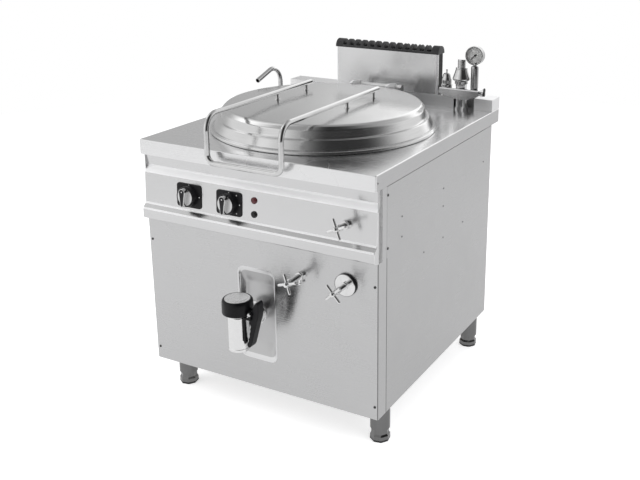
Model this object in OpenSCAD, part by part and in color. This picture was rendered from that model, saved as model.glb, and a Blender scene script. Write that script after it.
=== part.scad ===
// Gas boiling pan with a steam jacket, built into a cabinet that stands on four feet.
// X runs across the front, Y from the front to the wall, and Z up from the floor.
// The origin is on the floor, under the middle of the worktop.

/* [Cabinet] */
// Width of the worktop and the cabinet
cabinet_w = 800; // [780:5:900]
// Depth from the worktop's front face to its rear face
cabinet_d = 900; // [890:5:1000]
// Height of the worktop above the floor
worktop_h = 850; // [845:5:900]
// Depth of the worktop's folded edge
fold_h = 45; // [36:1:50]
// Thickness of the panels
sheet_t = 1.5; // [1:0.1:2.2]
// Thickness of the frame's folded sections
frame_t = 3; // [2:0.5:5]
// Height of the cabinet's underside above the floor
floor_gap = 121; // [110:1:135]
// Setback of the front panel from the worktop's front face
panel_setback = 16; // [12:1:20]
// Width of the front columns, seen on the cabinet's sides
column_d = 49; // [40:1:60]
// Gap for pipes between the rear panel and the worktop's rear face
rear_gap = 63; // [40:1:66]

/* [Control panel] */
// Height of the control panel below the worktop's fold
control_h = 208; // [200:1:216]
// Drop from the fold to the groove that the face starts from
groove_drop = 40; // [34:1:46]
// Height of the face that carries the controls
face_h = 98; // [94:1:104]
// Height of the bare strip along the panel's nose
nose_h = 31; // [24:1:36]
// How far the nose stands in front of the worktop
nose_reach = 6; // [2:1:10]

/* [Rear] */
// Height of the upstand above the worktop
upstand_h = 40; // [30:1:60]
// Depth of the upstand
upstand_d = 70; // [66:1:80]
// Room on the worktop beside the flue housing
flue_side_room = 201; // [200:1:220]
// Depth of the flue housing
flue_d = 48; // [42:1:52]
// Height of the flue housing above the worktop
flue_h = 177; // [140:1:220]
// Height of the cast cap on the flue
flue_cap_h = 27; // [22:1:32]

/* [Vessel] */
// Room between the insulation and the cabinet's sides
vessel_side_room = 45; // [38:1:60]
// Room between the insulation and the worktop's front face
vessel_front_room = 50; // [48:1:60]
// Room for the flue's duct between the insulation and the worktop's rear face
vessel_rear_room = 140; // [132:1:160]
// Thickness of the vessel's wall
vessel_t = 2; // [1.5:0.1:3]
// Width of the steam space round the vessel
jacket_gap = 30; // [20:1:32]
// Thickness of the insulation round the jacket
insulation_t = 20; // [12:1:22]
// Height of the chamber's underside above the cabinet's underside
chamber_lift = 53; // [48:1:60]
// Height of the combustion chamber
chamber_h = 94; // [84:1:100]
// Depth of the jacket's water below the vessel's floor
jacket_drop = 75; // [66:1:80]

/* [Lid] */
// Overlap of the lid's rim past the vessel's wall
lid_overlap = 55; // [50:1:58]
// Height of the lid's centre above the worktop
lid_h = 87; // [80:1:100]
// Angle to which the lid opens
lid_open = 90; // [60:1:90]
// Diameter of the lid's handle tube
handle_tube_d = 16; // [14:0.5:18]
// Distance between the two rods of the lid's handle
handle_w = 250; // [220:2:280]
// Height of the handle's rods above the worktop
handle_h = 108; // [104:1:120]
// How far the grip stands in front of the worktop
grip_reach = 26; // [22:1:40]
// Depth of the grip below the rods
grip_drop = 137; // [110:1:150]
// Diameter of the hinge tube behind the lid
hinge_tube_d = 17; // [14:0.5:20]
// Length of the hinge tube
hinge_tube_l = 194; // [170:2:240]
// Height of the hinge above the worktop
hinge_h = 65; // [62:1:72]

/* [Spout] */
// Outer diameter of the water spout
spout_d = 16; // [12:0.5:18]
// Reach of the spout from its pivot
spout_reach = 141; // [135:1:160]
// Height of the spout's arch above the worktop
spout_h = 117; // [110:1:140]
// Inset of the spout's pivot from the worktop's left edge
spout_inset = 39; // [38:0.5:42]

/* [Controls] */
// Diameter of the two knobs
knob_d = 64; // [56:1:68]
// Height of the knobs' skirts
knob_skirt_h = 15; // [12:1:20]
// Width of the black plates behind the knobs
plate_w = 90; // [84:1:96]
// Height of the black plates behind the knobs
plate_h = 72; // [70:1:78]
// Distance between the knobs' centres
knob_pitch = 145; // [110:1:150]
// Distance across a tap's cross handle
cross_w = 62; // [54:1:70]
// Diameter of the disc behind the jacket tap
rose_d = 66; // [50:1:76]

/* [Drain tap] */
// Outer diameter of the tap's barrel
barrel_d = 62; // [58:1:66]
// Reach of the barrel's centre from the front panel
barrel_reach = 94; // [88:1:110]
// Outer diameter of the black collar
collar_d = 91; // [86:1:96]
// Outer diameter of the drain pipe
drain_d = 54; // [48:1:58]
// Angle through which the lever lifts
lever_lift = 40; // [20:1:40]
// Stroke of the plunger for the whole lift
plunger_stroke = 12; // [8:1:12]

/* [Safety group] */
// Length of the manifold that carries the fittings
manifold_w = 142; // [136:1:150]
// Diameter of the gauge's case
gauge_d = 63; // [58:1:68]
// Height of the gauge's centre above the worktop
gauge_h = 184; // [176:1:200]
// Height of the safety valve's top above the worktop
valve_h = 168; // [150:1:180]

/* [Feet] */
// Diameter of the leg sleeves
foot_d = 60; // [50:1:64]
// Inset of the feet from the cabinet's sides
foot_inset = 42; // [38:1:60]
// Setback of the feet from the worktop's front and rear
foot_setback = 109; // [100:1:130]

/* [Hidden] */
$fn = 64;

// Overrun that every cut runs past the surface it opens
over = 1;
// Gap round a spindle, pin or piece that moves in another
run_gap = 0.3;

// Places of the main planes
side_inset = 1;
side_x = cabinet_w / 2 - side_inset;
fold_z = worktop_h - fold_h;
sheet_z = worktop_h - sheet_t;
rear_y = cabinet_d - rear_gap;
front_top_z = fold_z - control_h;
column_rear = panel_setback + column_d;
upstand_y = cabinet_d - upstand_d;
upstand_z = worktop_h + upstand_h;
flue_w = cabinet_w - flue_side_room * 2;

// The vessel is the largest that the cabinet holds round its jacket and insulation
jacket_t = 3;
insulation_r = min(cabinet_w / 2 - vessel_side_room,
    (cabinet_d - vessel_front_room - vessel_rear_room) / 2);
vessel_d = (insulation_r - insulation_t - jacket_t - jacket_gap - vessel_t) * 2;
vessel_setback = vessel_front_room + insulation_r;
chamber_z = floor_gap + chamber_lift;
jacket_z = chamber_z + chamber_h;
vessel_floor_z = jacket_z + jacket_drop + vessel_t;
lid_d = vessel_d + lid_overlap * 2;

// Y coordinate of a place at this distance behind the worktop's front face
function from_front(setback) = setback - cabinet_d / 2;

// A box between two corners, each as a distance across, behind the front face and up
module between(low, high) {
    translate([low[0], from_front(low[1]), low[2]])
        cube([high[0] - low[0], high[1] - low[1], high[2] - low[2]]);
}

// A flat rectangle centred on the origin, with round corners
module rounded(w, h, r) {
    square([w - r * 2, h], center = true);
    square([w, h - r * 2], center = true);
    for (x = [-1, 1], y = [-1, 1]) {
        translate([x * (w / 2 - r), y * (h / 2 - r)]) circle(r);
    }
}

// An outline in Y and Z, carried from one X to another; its Y is a distance behind the front
module across(points, x_low, x_high) {
    translate([x_low, from_front(0), 0])
        rotate([90, 0, 90])
            linear_extrude(x_high - x_low) polygon(points);
}

// A turned ring or tube, from one height to another
module ring(r_out, r_in, z_low, z_high) {
    translate([0, 0, z_low]) difference() {
        cylinder(h = z_high - z_low, r = r_out);
        translate([0, 0, -over]) cylinder(h = z_high - z_low + over * 2, r = r_in);
    }
}

// The frame: a folded ring at the bottom, four columns, a ring under the worktop and bearers
rail_h = 40;
rail_w = 26;
lip_w = 20;
bearer_w = 40;
bearer_inset = 190;
foot_plate_w = 84;
rear_column_w = 46;

module folded_ring(x, y_low, y_high, z, lip_z) {
    difference() {
        between([-x, y_low, z], [x, y_high, z + rail_h]);
        between([frame_t - x, y_low + frame_t, lip_z], [x - frame_t, y_high - frame_t, lip_z + rail_h]);
        between([rail_w - x, y_low + rail_w, z - over], [x - rail_w, y_high - rail_w, z + rail_h + over]);
    }
}

module base_frame() {
    color("silver") {
        folded_ring(side_x - sheet_t, panel_setback + sheet_t, rear_y - sheet_t, floor_gap,
            floor_gap + frame_t);
        difference() {
            between([frame_t - cabinet_w / 2, frame_t, fold_z],
                [cabinet_w / 2 - frame_t, cabinet_d - frame_t, sheet_z]);
            between([frame_t * 2 - cabinet_w / 2, frame_t * 2, fold_z + frame_t],
                [cabinet_w / 2 - frame_t * 2, cabinet_d - frame_t * 2, worktop_h]);
            between([lip_w + frame_t - cabinet_w / 2, lip_w + frame_t * 2, fold_z - over],
                [cabinet_w / 2 - lip_w - frame_t, cabinet_d - frame_t * 2, worktop_h]);
        }
        for (side = [0, 1]) mirror([side, 0, 0]) {
            between([side_x - frame_t, panel_setback + sheet_t, floor_gap],
                [side_x, column_rear, fold_z]);
            between([side_x - rail_w, panel_setback + sheet_t, floor_gap],
                [side_x, panel_setback + sheet_t + frame_t, front_top_z]);
            between([side_x - sheet_t - frame_t, rear_y - rear_column_w, floor_gap],
                [side_x - sheet_t, rear_y - sheet_t, fold_z]);
            between([side_x - sheet_t - rail_w, rear_y - sheet_t - frame_t, floor_gap],
                [side_x - sheet_t, rear_y - sheet_t, fold_z]);
            for (y = [foot_setback, cabinet_d - foot_setback])
                between([side_x - sheet_t - foot_plate_w, y - foot_plate_w / 2, floor_gap],
                    [side_x - sheet_t, y + foot_plate_w / 2, floor_gap + frame_t]);
        }
        for (y = [vessel_setback - bearer_inset, vessel_setback + bearer_inset]) difference() {
            between([sheet_t - side_x, y - bearer_w / 2, floor_gap + rail_h - bearer_w / 2],
                [side_x - sheet_t, y + bearer_w / 2, chamber_z]);
            between([-side_x, y - bearer_w / 2 + frame_t, floor_gap],
                [side_x, y + bearer_w / 2 - frame_t, chamber_z - frame_t]);
        }
    }
}

// Four legs: a sleeve welded under the frame, and a pad on a stem that screws in it
sleeve_t = 3;
sleeve_z = 40;
pad_rim_h = 7;
pad_rim_step = 1;
stem_d = 24;
stem_top = 12;

module at_feet() {
    for (x = [-1, 1], y = [foot_setback, cabinet_d - foot_setback])
        translate([x * (cabinet_w / 2 - foot_inset), from_front(y), 0]) children();
}

module foot_sleeves() {
    color("dimgray") at_feet() {
        ring(foot_d / 2, foot_d / 2 - sleeve_t, sleeve_z, floor_gap - sleeve_t);
        ring(foot_d / 2, stem_d / 2, floor_gap - sleeve_t, floor_gap);
    }
}

module foot_pads() {
    color("dimgray") at_feet() {
        cylinder(h = pad_rim_h, r = foot_d / 2 + pad_rim_step);
        cylinder(h = sleeve_z, r = foot_d / 2 - pad_rim_step, $fn = 8);
        cylinder(h = floor_gap - stem_top, r = stem_d / 2);
    }
}

// Side, rear and front panels of brushed sheet
panel_gap = 0.8;
return_w = 12;
slot_w = 120;
slot_h = 8;
slot_pitch = 24;
slot_count = 6;
slot_z = 260;

module side_panel() {
    between([side_x - sheet_t, column_rear + panel_gap, floor_gap], [side_x, rear_y, fold_z]);
    between([side_x - return_w - frame_t, column_rear + panel_gap, floor_gap + rail_h],
        [side_x, column_rear + panel_gap + sheet_t, fold_z]);
}

module right_side_panel() {
    color("lightgray") side_panel();
}

module left_side_panel() {
    color("lightgray") mirror([1, 0, 0]) side_panel();
}

module rear_panel() {
    color("lightgray") difference() {
        between([sheet_t - side_x, rear_y - sheet_t, floor_gap], [side_x - sheet_t, rear_y, fold_z]);
        between([-duct_x - panel_gap, rear_y - sheet_t - over, duct_notch_z],
            [duct_x + panel_gap, rear_y + over, worktop_h]);
        for (x = [-1, 1], i = [0 : slot_count - 1])
            between([x * slot_w - slot_w / 2, rear_y - sheet_t - over, slot_z + i * slot_pitch],
                [x * slot_w + slot_w / 2, rear_y + over, slot_z + i * slot_pitch + slot_h]);
        translate([gas_x, from_front(rear_y), gas_inlet_z])
            rotate([90, 0, 0]) cylinder(h = sheet_t * 4, r = gas_pipe_r + run_gap, center = true);
    }
}

// The pressed recess that the drain tap stands in
drain_x = -4;
drain_rise = 24;
drain_z = vessel_floor_z + drain_rise;
recess_w = 132;
recess_top_share = 0.605;
recess_top = (front_top_z - drain_z) * recess_top_share;
recess_bottom = 157;
recess_r = 24;
recess_d = 22;
recess_slope = 42;
recess_mid_z = drain_z + (recess_top - recess_bottom) / 2;

module front_panel() {
    color("lightgray") difference() {
        union() {
            between([-side_x, panel_setback, floor_gap],
                [side_x, panel_setback + sheet_t, front_top_z]);
            for (z = [floor_gap + rail_h, front_top_z - sheet_t])
                between([rail_w + frame_t - side_x, panel_setback, z],
                    [side_x - rail_w - frame_t, panel_setback + return_w, z + sheet_t]);
        }
        translate([drain_x, from_front(panel_setback), recess_mid_z]) rotate([90, 0, 0])
            linear_extrude(recess_d, center = true)
                rounded(recess_w, recess_top + recess_bottom, recess_r);
        for (x = [level_tap_x, jacket_tap_x]) on_front(x, low_tap_z)
            cylinder(h = return_w, r = tap_tail_r, center = true);
    }
}

module tap_recess() {
    color("lightgray") difference() {
        translate([drain_x, from_front(panel_setback + recess_d), recess_mid_z])
            rotate([90, 0, 0]) linear_extrude(recess_d)
                rounded(recess_w, recess_top + recess_bottom, recess_r);
        difference() {
            translate([drain_x, from_front(panel_setback + recess_d - sheet_t), recess_mid_z])
                rotate([90, 0, 0]) linear_extrude(recess_d)
                    rounded(recess_w - sheet_t * 2, recess_top + recess_bottom - sheet_t * 2,
                        recess_r - sheet_t);
            across([
                [panel_setback, drain_z - recess_bottom],
                [panel_setback + recess_d, drain_z - recess_bottom],
                [panel_setback + recess_d, drain_z - recess_bottom + recess_slope + sheet_t],
                [panel_setback + sheet_t, drain_z - recess_bottom + sheet_t]
            ], drain_x - recess_w / 2, drain_x + recess_w / 2);
        }
        on_front(drain_x, drain_z) cylinder(h = recess_d * 3, r = drain_d / 2 + run_gap, center = true);
    }
}

// The control panel: a folded profile with a groove above the face and a nose below it
panel_top_in = 20;
groove_in = 25;
face_top_in = 14;
face_bottom_in = 8;
face_step = 17;
nose_slope = 14;
tuck_h = 8;
panel_return = 40;
groove_z = fold_z - groove_drop;
face_top_z = groove_z - face_step;
face_bottom_z = face_top_z - face_h;
nose_z = face_bottom_z - nose_slope;
panel_tilt = atan((face_top_in - face_bottom_in) / face_h);
panel_profile = [
    [panel_top_in, fold_z], [groove_in, groove_z], [face_top_in, face_top_z],
    [face_bottom_in, face_bottom_z], [-nose_reach, nose_z], [-nose_reach, nose_z - nose_h],
    [panel_setback, nose_z - nose_h - tuck_h]
];

// Distance behind the worktop's front face of the sloping face at this height
function face_in(z) = face_bottom_in + (z - face_bottom_z) * (face_top_in - face_bottom_in) / face_h;

// Places children on the sloping face, or on the front panel, with Z pointing out of it
module on_face(x, z) {
    translate([x, from_front(face_in(z)), z]) rotate([90 - panel_tilt, 0, 0]) children();
}

module on_front(x, z) {
    translate([x, from_front(panel_setback), z]) rotate([90, 0, 0]) children();
}

module control_panel() {
    back = [for (i = [len(panel_profile) - 1 : -1 : 0]) panel_profile[i] + [sheet_t, 0]];
    ends = concat(panel_profile, [[panel_return, nose_z - nose_h - tuck_h], [panel_return, fold_z]]);
    color("lightgray") difference() {
        union() {
            across(concat(panel_profile, back), -side_x, side_x);
            for (x = [-side_x, side_x - sheet_t]) across(ends, x, x + sheet_t);
            between([-side_x, panel_setback, nose_z - nose_h - tuck_h],
                [side_x, panel_setback + sheet_t, nose_z - nose_h]);
        }
        for (x = [-side_x - over, side_x - frame_t])
            between([x, panel_setback + sheet_t, floor_gap], [x + frame_t + over, cabinet_d, worktop_h]);
        for (x = [switch_x, gas_knob_x]) on_face(x, knob_z)
            cylinder(h = return_w, r = spindle_hole_r, center = true);
        on_face(lamp_x, lamp_z) cylinder(h = return_w, r = lamp_tail_r, center = true);
        on_face(lamp_x, igniter_z) cylinder(h = return_w, r = igniter_tail_r, center = true);
        on_face(panel_tap_x, panel_tap_z) cylinder(h = return_w, r = tap_tail_r, center = true);
    }
}

// The worktop with its folded edge, and the box of the upstand that stands on its rear
worktop_hole_step = 12;
notch_out = 15;
notch_w = 74;
notch_d = 30;

module duct_opening(z_low, z_high) {
    between([-duct_x - panel_gap, upstand_y + sheet_t, z_low],
        [duct_x + panel_gap, upstand_y + flue_d - sheet_t, z_high]);
}

module worktop() {
    color("lightgray") difference() {
        between([-cabinet_w / 2, 0, fold_z], [cabinet_w / 2, cabinet_d, worktop_h]);
        between([sheet_t - cabinet_w / 2, sheet_t, fold_z - over],
            [cabinet_w / 2 - sheet_t, cabinet_d - sheet_t, sheet_z]);
        at_vessel() cylinder(h = worktop_h + over, r = vessel_d / 2 + worktop_hole_step);
        duct_opening(fold_z, worktop_h + over);
        at_spout() cylinder(h = worktop_h + over, r = spout_neck_r + run_gap);
    }
}

module rear_upstand() {
    notch_x = group_x + notch_out;
    color("lightgray") difference() {
        between([-cabinet_w / 2, upstand_y, worktop_h], [cabinet_w / 2, cabinet_d, upstand_z]);
        difference() {
            between([sheet_t - cabinet_w / 2, upstand_y + sheet_t, worktop_h - over],
                [cabinet_w / 2 - sheet_t, cabinet_d - sheet_t, upstand_z - sheet_t]);
            between([notch_x - notch_w / 2 - sheet_t, upstand_y, worktop_h - over],
                [notch_x + notch_w / 2 + sheet_t, upstand_y + notch_d + sheet_t, upstand_z]);
        }
        between([notch_x - notch_w / 2, upstand_y - over, worktop_h - over],
            [notch_x + notch_w / 2, upstand_y + notch_d, upstand_z + over]);
        duct_opening(worktop_h, upstand_z + over);
    }
}

// The flue: a chamber under the vessel, a duct up the rear, a housing and a cast cap
flue_t = 1.5;
flue_top = worktop_h + flue_h;
cap_step = 2;
fin_pitch = 27.5;
fin_w = 11;
cap_base_h = 8;
cap_rail_w = 8;
fin_count = floor((flue_w + cap_step * 2 - fin_w) / fin_pitch);
chamber_wall = 2;
chamber_r = vessel_d / 2 + jacket_gap - chamber_wall * 5;
duct_in = 9;
duct_x = flue_w / 2 - duct_in;
duct_d = 48;
duct_gap = 7;
duct_jog_h = 82;
duct_jog_low = 115;
duct_rear = rear_y - sheet_t - duct_gap;
duct_notch_z = fold_z - duct_jog_low - over;
duct_top_z = upstand_z - over;

module duct_outline(inset, end) {
    front = duct_rear - duct_d;
    top_front = upstand_y + flue_t + panel_gap;
    top_rear = upstand_y + flue_d - flue_t - panel_gap;
    jog_low = fold_z - duct_jog_low;
    jog_high = jog_low + duct_jog_h;
    across([
        [vessel_setback, chamber_z + inset], [duct_rear - inset, chamber_z + inset],
        [duct_rear - inset, jog_low], [top_rear - inset, jog_high], [top_rear - inset, end],
        [top_front + inset, end], [top_front + inset, jog_high], [front + inset, jog_low],
        [front + inset, jacket_z - inset], [vessel_setback, jacket_z - inset]
    ], inset - duct_x, duct_x - inset);
}

module combustion_chamber() {
    color("dimgray") difference() {
        union() {
            at_vessel() translate([0, 0, chamber_z]) cylinder(h = jacket_z - chamber_z, r = chamber_r);
            duct_outline(0, duct_top_z);
        }
        at_vessel() translate([0, 0, chamber_z + chamber_wall])
            cylinder(h = chamber_h, r = chamber_r - chamber_wall);
        duct_outline(chamber_wall, duct_top_z + over);
        for (x = burner_places) translate([x, from_front(vessel_setback), burner_z])
            rotate([90, 0, 0]) cylinder(h = chamber_r * 2, r = burner_r - chamber_wall);
    }
}

module flue_housing() {
    color("silver") difference() {
        between([-flue_w / 2, upstand_y, upstand_z], [flue_w / 2, upstand_y + flue_d, flue_top]);
        between([flue_t - flue_w / 2, upstand_y + flue_t, upstand_z - over],
            [flue_w / 2 - flue_t, upstand_y + flue_d - flue_t, flue_top + over]);
    }
}

module flue_cap() {
    cap_w = flue_w + cap_step * 2;
    cap_r = flue_d / 2 + cap_step;
    margin = (cap_w - fin_count * fin_pitch + fin_pitch - fin_w) / 2;
    color([0.1, 0.1, 0.1]) difference() {
        translate([-cap_w / 2, from_front(upstand_y + flue_d / 2), flue_top])
            rotate([90, 0, 90]) linear_extrude(cap_w) {
                translate([-cap_r, 0]) square([cap_r * 2, flue_cap_h - cap_r]);
                intersection() {
                    translate([0, flue_cap_h - cap_r]) circle(cap_r);
                    translate([-cap_r, 0]) square([cap_r * 2, flue_cap_h]);
                }
            }
        for (i = [0 : fin_count - 2]) {
            x = margin + fin_w - cap_w / 2 + i * fin_pitch;
            between([x, upstand_y - cap_step - over, flue_top + cap_base_h],
                [x + fin_pitch - fin_w, upstand_y + flue_d + cap_step + over, flue_top + flue_cap_h + over]);
            between([x, upstand_y + cap_rail_w, flue_top - over],
                [x + fin_pitch - fin_w, upstand_y + flue_d - cap_rail_w, flue_top + flue_cap_h + over]);
        }
    }
}

// The vessel, its steam jacket, the insulation and the drain pipe
vessel_y = from_front(vessel_setback);
vessel_lip_w = 28;
vessel_corner = 12;
jacket_top_drop = 110;
insulation_top_drop = 70;
insulation_low = 32;

module at_vessel() {
    translate([0, vessel_y, 0]) children();
}

module bore_to_front(r, z) {
    translate([drain_x, vessel_y, z]) rotate([90, 0, 0]) cylinder(h = vessel_setback, r = r);
}

module vessel() {
    r = vessel_d / 2;
    color("silver") difference() {
        at_vessel() rotate_extrude($fn = 128) polygon([
            [0, vessel_floor_z - vessel_t], [r - vessel_corner, vessel_floor_z - vessel_t],
            [r + vessel_t, vessel_floor_z + vessel_corner], [r + vessel_t, worktop_h],
            [r + vessel_lip_w, worktop_h], [r + vessel_lip_w, worktop_h + vessel_t],
            [r, worktop_h + vessel_t], [r, vessel_floor_z + vessel_corner],
            [r - vessel_corner, vessel_floor_z], [0, vessel_floor_z]
        ]);
        bore_to_front(drain_d / 2 - drain_t, drain_z);
    }
}

module steam_jacket() {
    low = vessel_d / 2 + vessel_t;
    out = vessel_d / 2 + vessel_t + jacket_gap;
    color("gray") difference() {
        at_vessel() rotate_extrude($fn = 128) polygon([
            [0, jacket_z], [out + jacket_t, jacket_z], [out + jacket_t, worktop_h - jacket_top_drop],
            [low, worktop_h - jacket_top_drop], [low, worktop_h - jacket_top_drop - jacket_t],
            [out, worktop_h - jacket_top_drop - jacket_t], [out, jacket_z + jacket_t],
            [0, jacket_z + jacket_t]
        ]);
        bore_to_front(drain_d / 2, drain_z);
    }
}

module insulation() {
    color("khaki") difference() {
        at_vessel() ring(insulation_r, insulation_r - insulation_t, jacket_z + insulation_low,
            worktop_h - insulation_top_drop - jacket_t * 2);
        bore_to_front(drain_d / 2 + run_gap, drain_z);
    }
}

// The pipe's own end is cut to the vessel's round wall, and its front end meets the tap
drain_t = 5;
tap_flange_in = 8;

module drain_pipe() {
    flange = panel_setback + tap_flange_in;
    color("silver") difference() {
        union() {
            translate([drain_x, vessel_y, drain_z]) rotate([90, 0, 0])
                cylinder(h = vessel_setback - flange, r = drain_d / 2);
            translate([drain_x, from_front(flange), drain_z]) rotate([-90, 0, 0])
                cylinder(h = drain_t, r = drain_d / 2);
        }
        at_vessel() cylinder(h = worktop_h, r = vessel_d / 2 + vessel_t, $fn = 128);
        bore_to_front(drain_d / 2 - drain_t, drain_z);
    }
}

// Three burners under the vessel, fed by a manifold from the gas inlet at the rear
burner_r = 22;
burner_side_room = 190;
burner_end_room = 110;
burner_pitch = chamber_r - burner_side_room;
burner_l = (chamber_r - burner_end_room) * 2;
burner_places = [-burner_pitch, 0, burner_pitch];
burner_lift = 24;
burner_z = chamber_z + chamber_wall + burner_lift;
burner_mouth = 60;
port_w = 4;
port_pitch = 28;
gas_pipe_r = 10;
gas_pipe_gap = 3;
gas_x = -chamber_r - gas_pipe_r - gas_pipe_gap;
gas_inlet_z = burner_z;
gas_inlet_r = 13.2;
gas_inlet_l = 21;
gas_inlet_out = 22;
manifold_setback = 38;
injector_r = 6;
riser_r = 8;
riser_gap = 6;

module burner_tubes() {
    front = vessel_setback - burner_l / 2;
    color("dimgray") for (x = burner_places) {
        difference() {
            translate([x, from_front(front + burner_l), burner_z]) rotate([90, 0, 0])
                cylinder(h = burner_l, r = burner_r);
            translate([x, from_front(front + burner_l - chamber_wall), burner_z]) rotate([90, 0, 0])
                cylinder(h = burner_l, r = burner_r - chamber_wall);
            for (y = [burner_mouth : port_pitch : burner_l - port_pitch])
                between([x - port_w, front + y, burner_z], [x + port_w, front + y + port_w, jacket_z]);
        }
        for (y = [burner_mouth, burner_l - burner_mouth]) difference() {
            between([x - port_w, front + y - port_w, chamber_z + chamber_wall],
                [x + port_w, front + y, burner_z - burner_r + chamber_wall / 2]);
            translate([x, from_front(front + burner_l), burner_z]) rotate([90, 0, 0])
                cylinder(h = burner_l, r = burner_r);
        }
    }
}

module gas_manifold() {
    front = from_front(manifold_setback);
    injector_end = vessel_setback - burner_l / 2 - run_gap;
    pipe_end = rear_y + gas_inlet_out / 2;
    color("goldenrod") {
        translate([gas_x, front, burner_z]) rotate([0, 90, 0])
            cylinder(h = burner_pitch - gas_x, r = gas_pipe_r);
        for (x = burner_places) translate([x, from_front(injector_end), burner_z])
            rotate([90, 0, 0]) cylinder(h = injector_end - manifold_setback, r = injector_r);
        translate([gas_x, from_front(pipe_end), burner_z]) rotate([90, 0, 0])
            cylinder(h = pipe_end - manifold_setback, r = gas_pipe_r);
        translate([gas_x, front, burner_z]) sphere(gas_pipe_r);
        translate([gas_x, from_front(rear_y + gas_inlet_out), gas_inlet_z]) rotate([90, 0, 0])
            cylinder(h = gas_inlet_l, r = gas_inlet_r);
        difference() {
            translate([gas_knob_x, front, burner_z]) cylinder(h = knob_z - burner_z, r = riser_r);
            on_face(gas_knob_x, knob_z)
                translate([-valve_body_w / 2, -valve_body_h / 2, -valve_body_d * 2])
                    cube([valve_body_w, valve_body_h, valve_body_d * 2]);
        }
    }
}

// Knobs with a skirt and a raised grip, on black plates, and what they turn behind the panel
knob_rise = 46;
knob_z = face_bottom_z + knob_rise;
gas_knob_x = drain_x - recess_w / 2 - riser_r - riser_gap;
switch_x = gas_knob_x - knob_pitch;
plate_t = 3;
plate_r = 9;
spindle_r = 4;
spindle_hole_r = 7;
spindle_l = 24;
valve_body_w = 40;
valve_body_h = 56;
valve_body_d = 32;
grip_l = 56;
grip_w = 19;
grip_tail_w = 11;
grip_h = 19;
rim_w = 3;
rim_h = 2;

module knob_plates() {
    color([0.12, 0.12, 0.12]) for (x = [switch_x, gas_knob_x]) on_face(x, knob_z) difference() {
        linear_extrude(plate_t) rounded(plate_w, plate_h, plate_r);
        translate([0, 0, -over]) cylinder(h = plate_t + over * 2, r = spindle_hole_r);
    }
}

module knob() {
    top = plate_t + run_gap + knob_skirt_h;
    tail = grip_l / 2 - grip_tail_w / 2;
    head = grip_l / 2 - grip_w / 2;
    difference() {
        translate([0, 0, plate_t + run_gap]) cylinder(h = knob_skirt_h, r = knob_d / 2);
        translate([0, 0, top - rim_h]) cylinder(h = knob_skirt_h, r = knob_d / 2 - rim_w);
    }
    translate([0, 0, top - rim_h]) linear_extrude(grip_h + rim_h) {
        translate([0, head]) circle(grip_w / 2);
        translate([0, -tail]) circle(grip_tail_w / 2);
        polygon([[-grip_w / 2, head], [grip_w / 2, head], [grip_tail_w / 2, -tail],
            [-grip_tail_w / 2, -tail]]);
    }
    translate([0, 0, -spindle_l]) cylinder(h = spindle_l + plate_t + over, r = spindle_r);
}

module switch_knob() {
    color([0.1, 0.1, 0.1]) on_face(switch_x, knob_z) knob();
}

module gas_knob() {
    color([0.1, 0.1, 0.1]) on_face(gas_knob_x, knob_z) knob();
}

module valve_block() {
    difference() {
        translate([-valve_body_w / 2, -valve_body_h / 2, -sheet_t - valve_body_d])
            cube([valve_body_w, valve_body_h, valve_body_d]);
        translate([0, 0, -spindle_l - run_gap]) cylinder(h = spindle_l + over, r = spindle_r + run_gap);
    }
}

module gas_valve() {
    color("goldenrod") on_face(gas_knob_x, knob_z) valve_block();
}

module power_switch() {
    color("whitesmoke") on_face(switch_x, knob_z) valve_block();
}

// The red lamp, and the black ignition button in its barrel
lamp_x = 3;
lamp_rise = 67;
lamp_z = face_bottom_z + lamp_rise;
igniter_rise = 26;
igniter_z = face_bottom_z + igniter_rise;
lamp_r = 10;
lamp_lens_r = 7.5;
lamp_ring_h = 3;
lamp_lens_h = 3;
lamp_tail_r = 7;
lamp_tail_l = 22;
igniter_tail_r = 9;
igniter_tail_l = 26;
button_r = 6.5;
button_out = 5;
button_travel = 3;

module indicator_lamp() {
    color("darkred") on_face(lamp_x, lamp_z) {
        cylinder(h = lamp_ring_h, r = lamp_r);
        translate([0, 0, -lamp_tail_l]) cylinder(h = lamp_tail_l + over, r = lamp_tail_r);
        translate([0, 0, lamp_ring_h]) intersection() {
            translate([0, 0, lamp_lens_h - lamp_lens_r * 1.5]) sphere(lamp_lens_r * 1.5);
            cylinder(h = lamp_lens_h, r = lamp_lens_r);
        }
    }
}

module igniter_body() {
    color([0.12, 0.12, 0.12]) on_face(lamp_x, igniter_z) difference() {
        union() {
            cylinder(h = lamp_ring_h, r = lamp_r);
            translate([0, 0, -igniter_tail_l]) cylinder(h = igniter_tail_l + over, r = igniter_tail_r);
        }
        translate([0, 0, lamp_ring_h - igniter_tail_l]) cylinder(h = igniter_tail_l + over, r = button_r + run_gap);
    }
}

module igniter_button() {
    low = lamp_ring_h - igniter_tail_l + button_travel + run_gap;
    color([0.08, 0.08, 0.08]) on_face(lamp_x, igniter_z) {
        translate([0, 0, low]) cylinder(h = button_out - low, r = button_r);
        translate([0, 0, button_out]) cylinder(h = over, r1 = button_r, r2 = button_r - over);
    }
}

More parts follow.
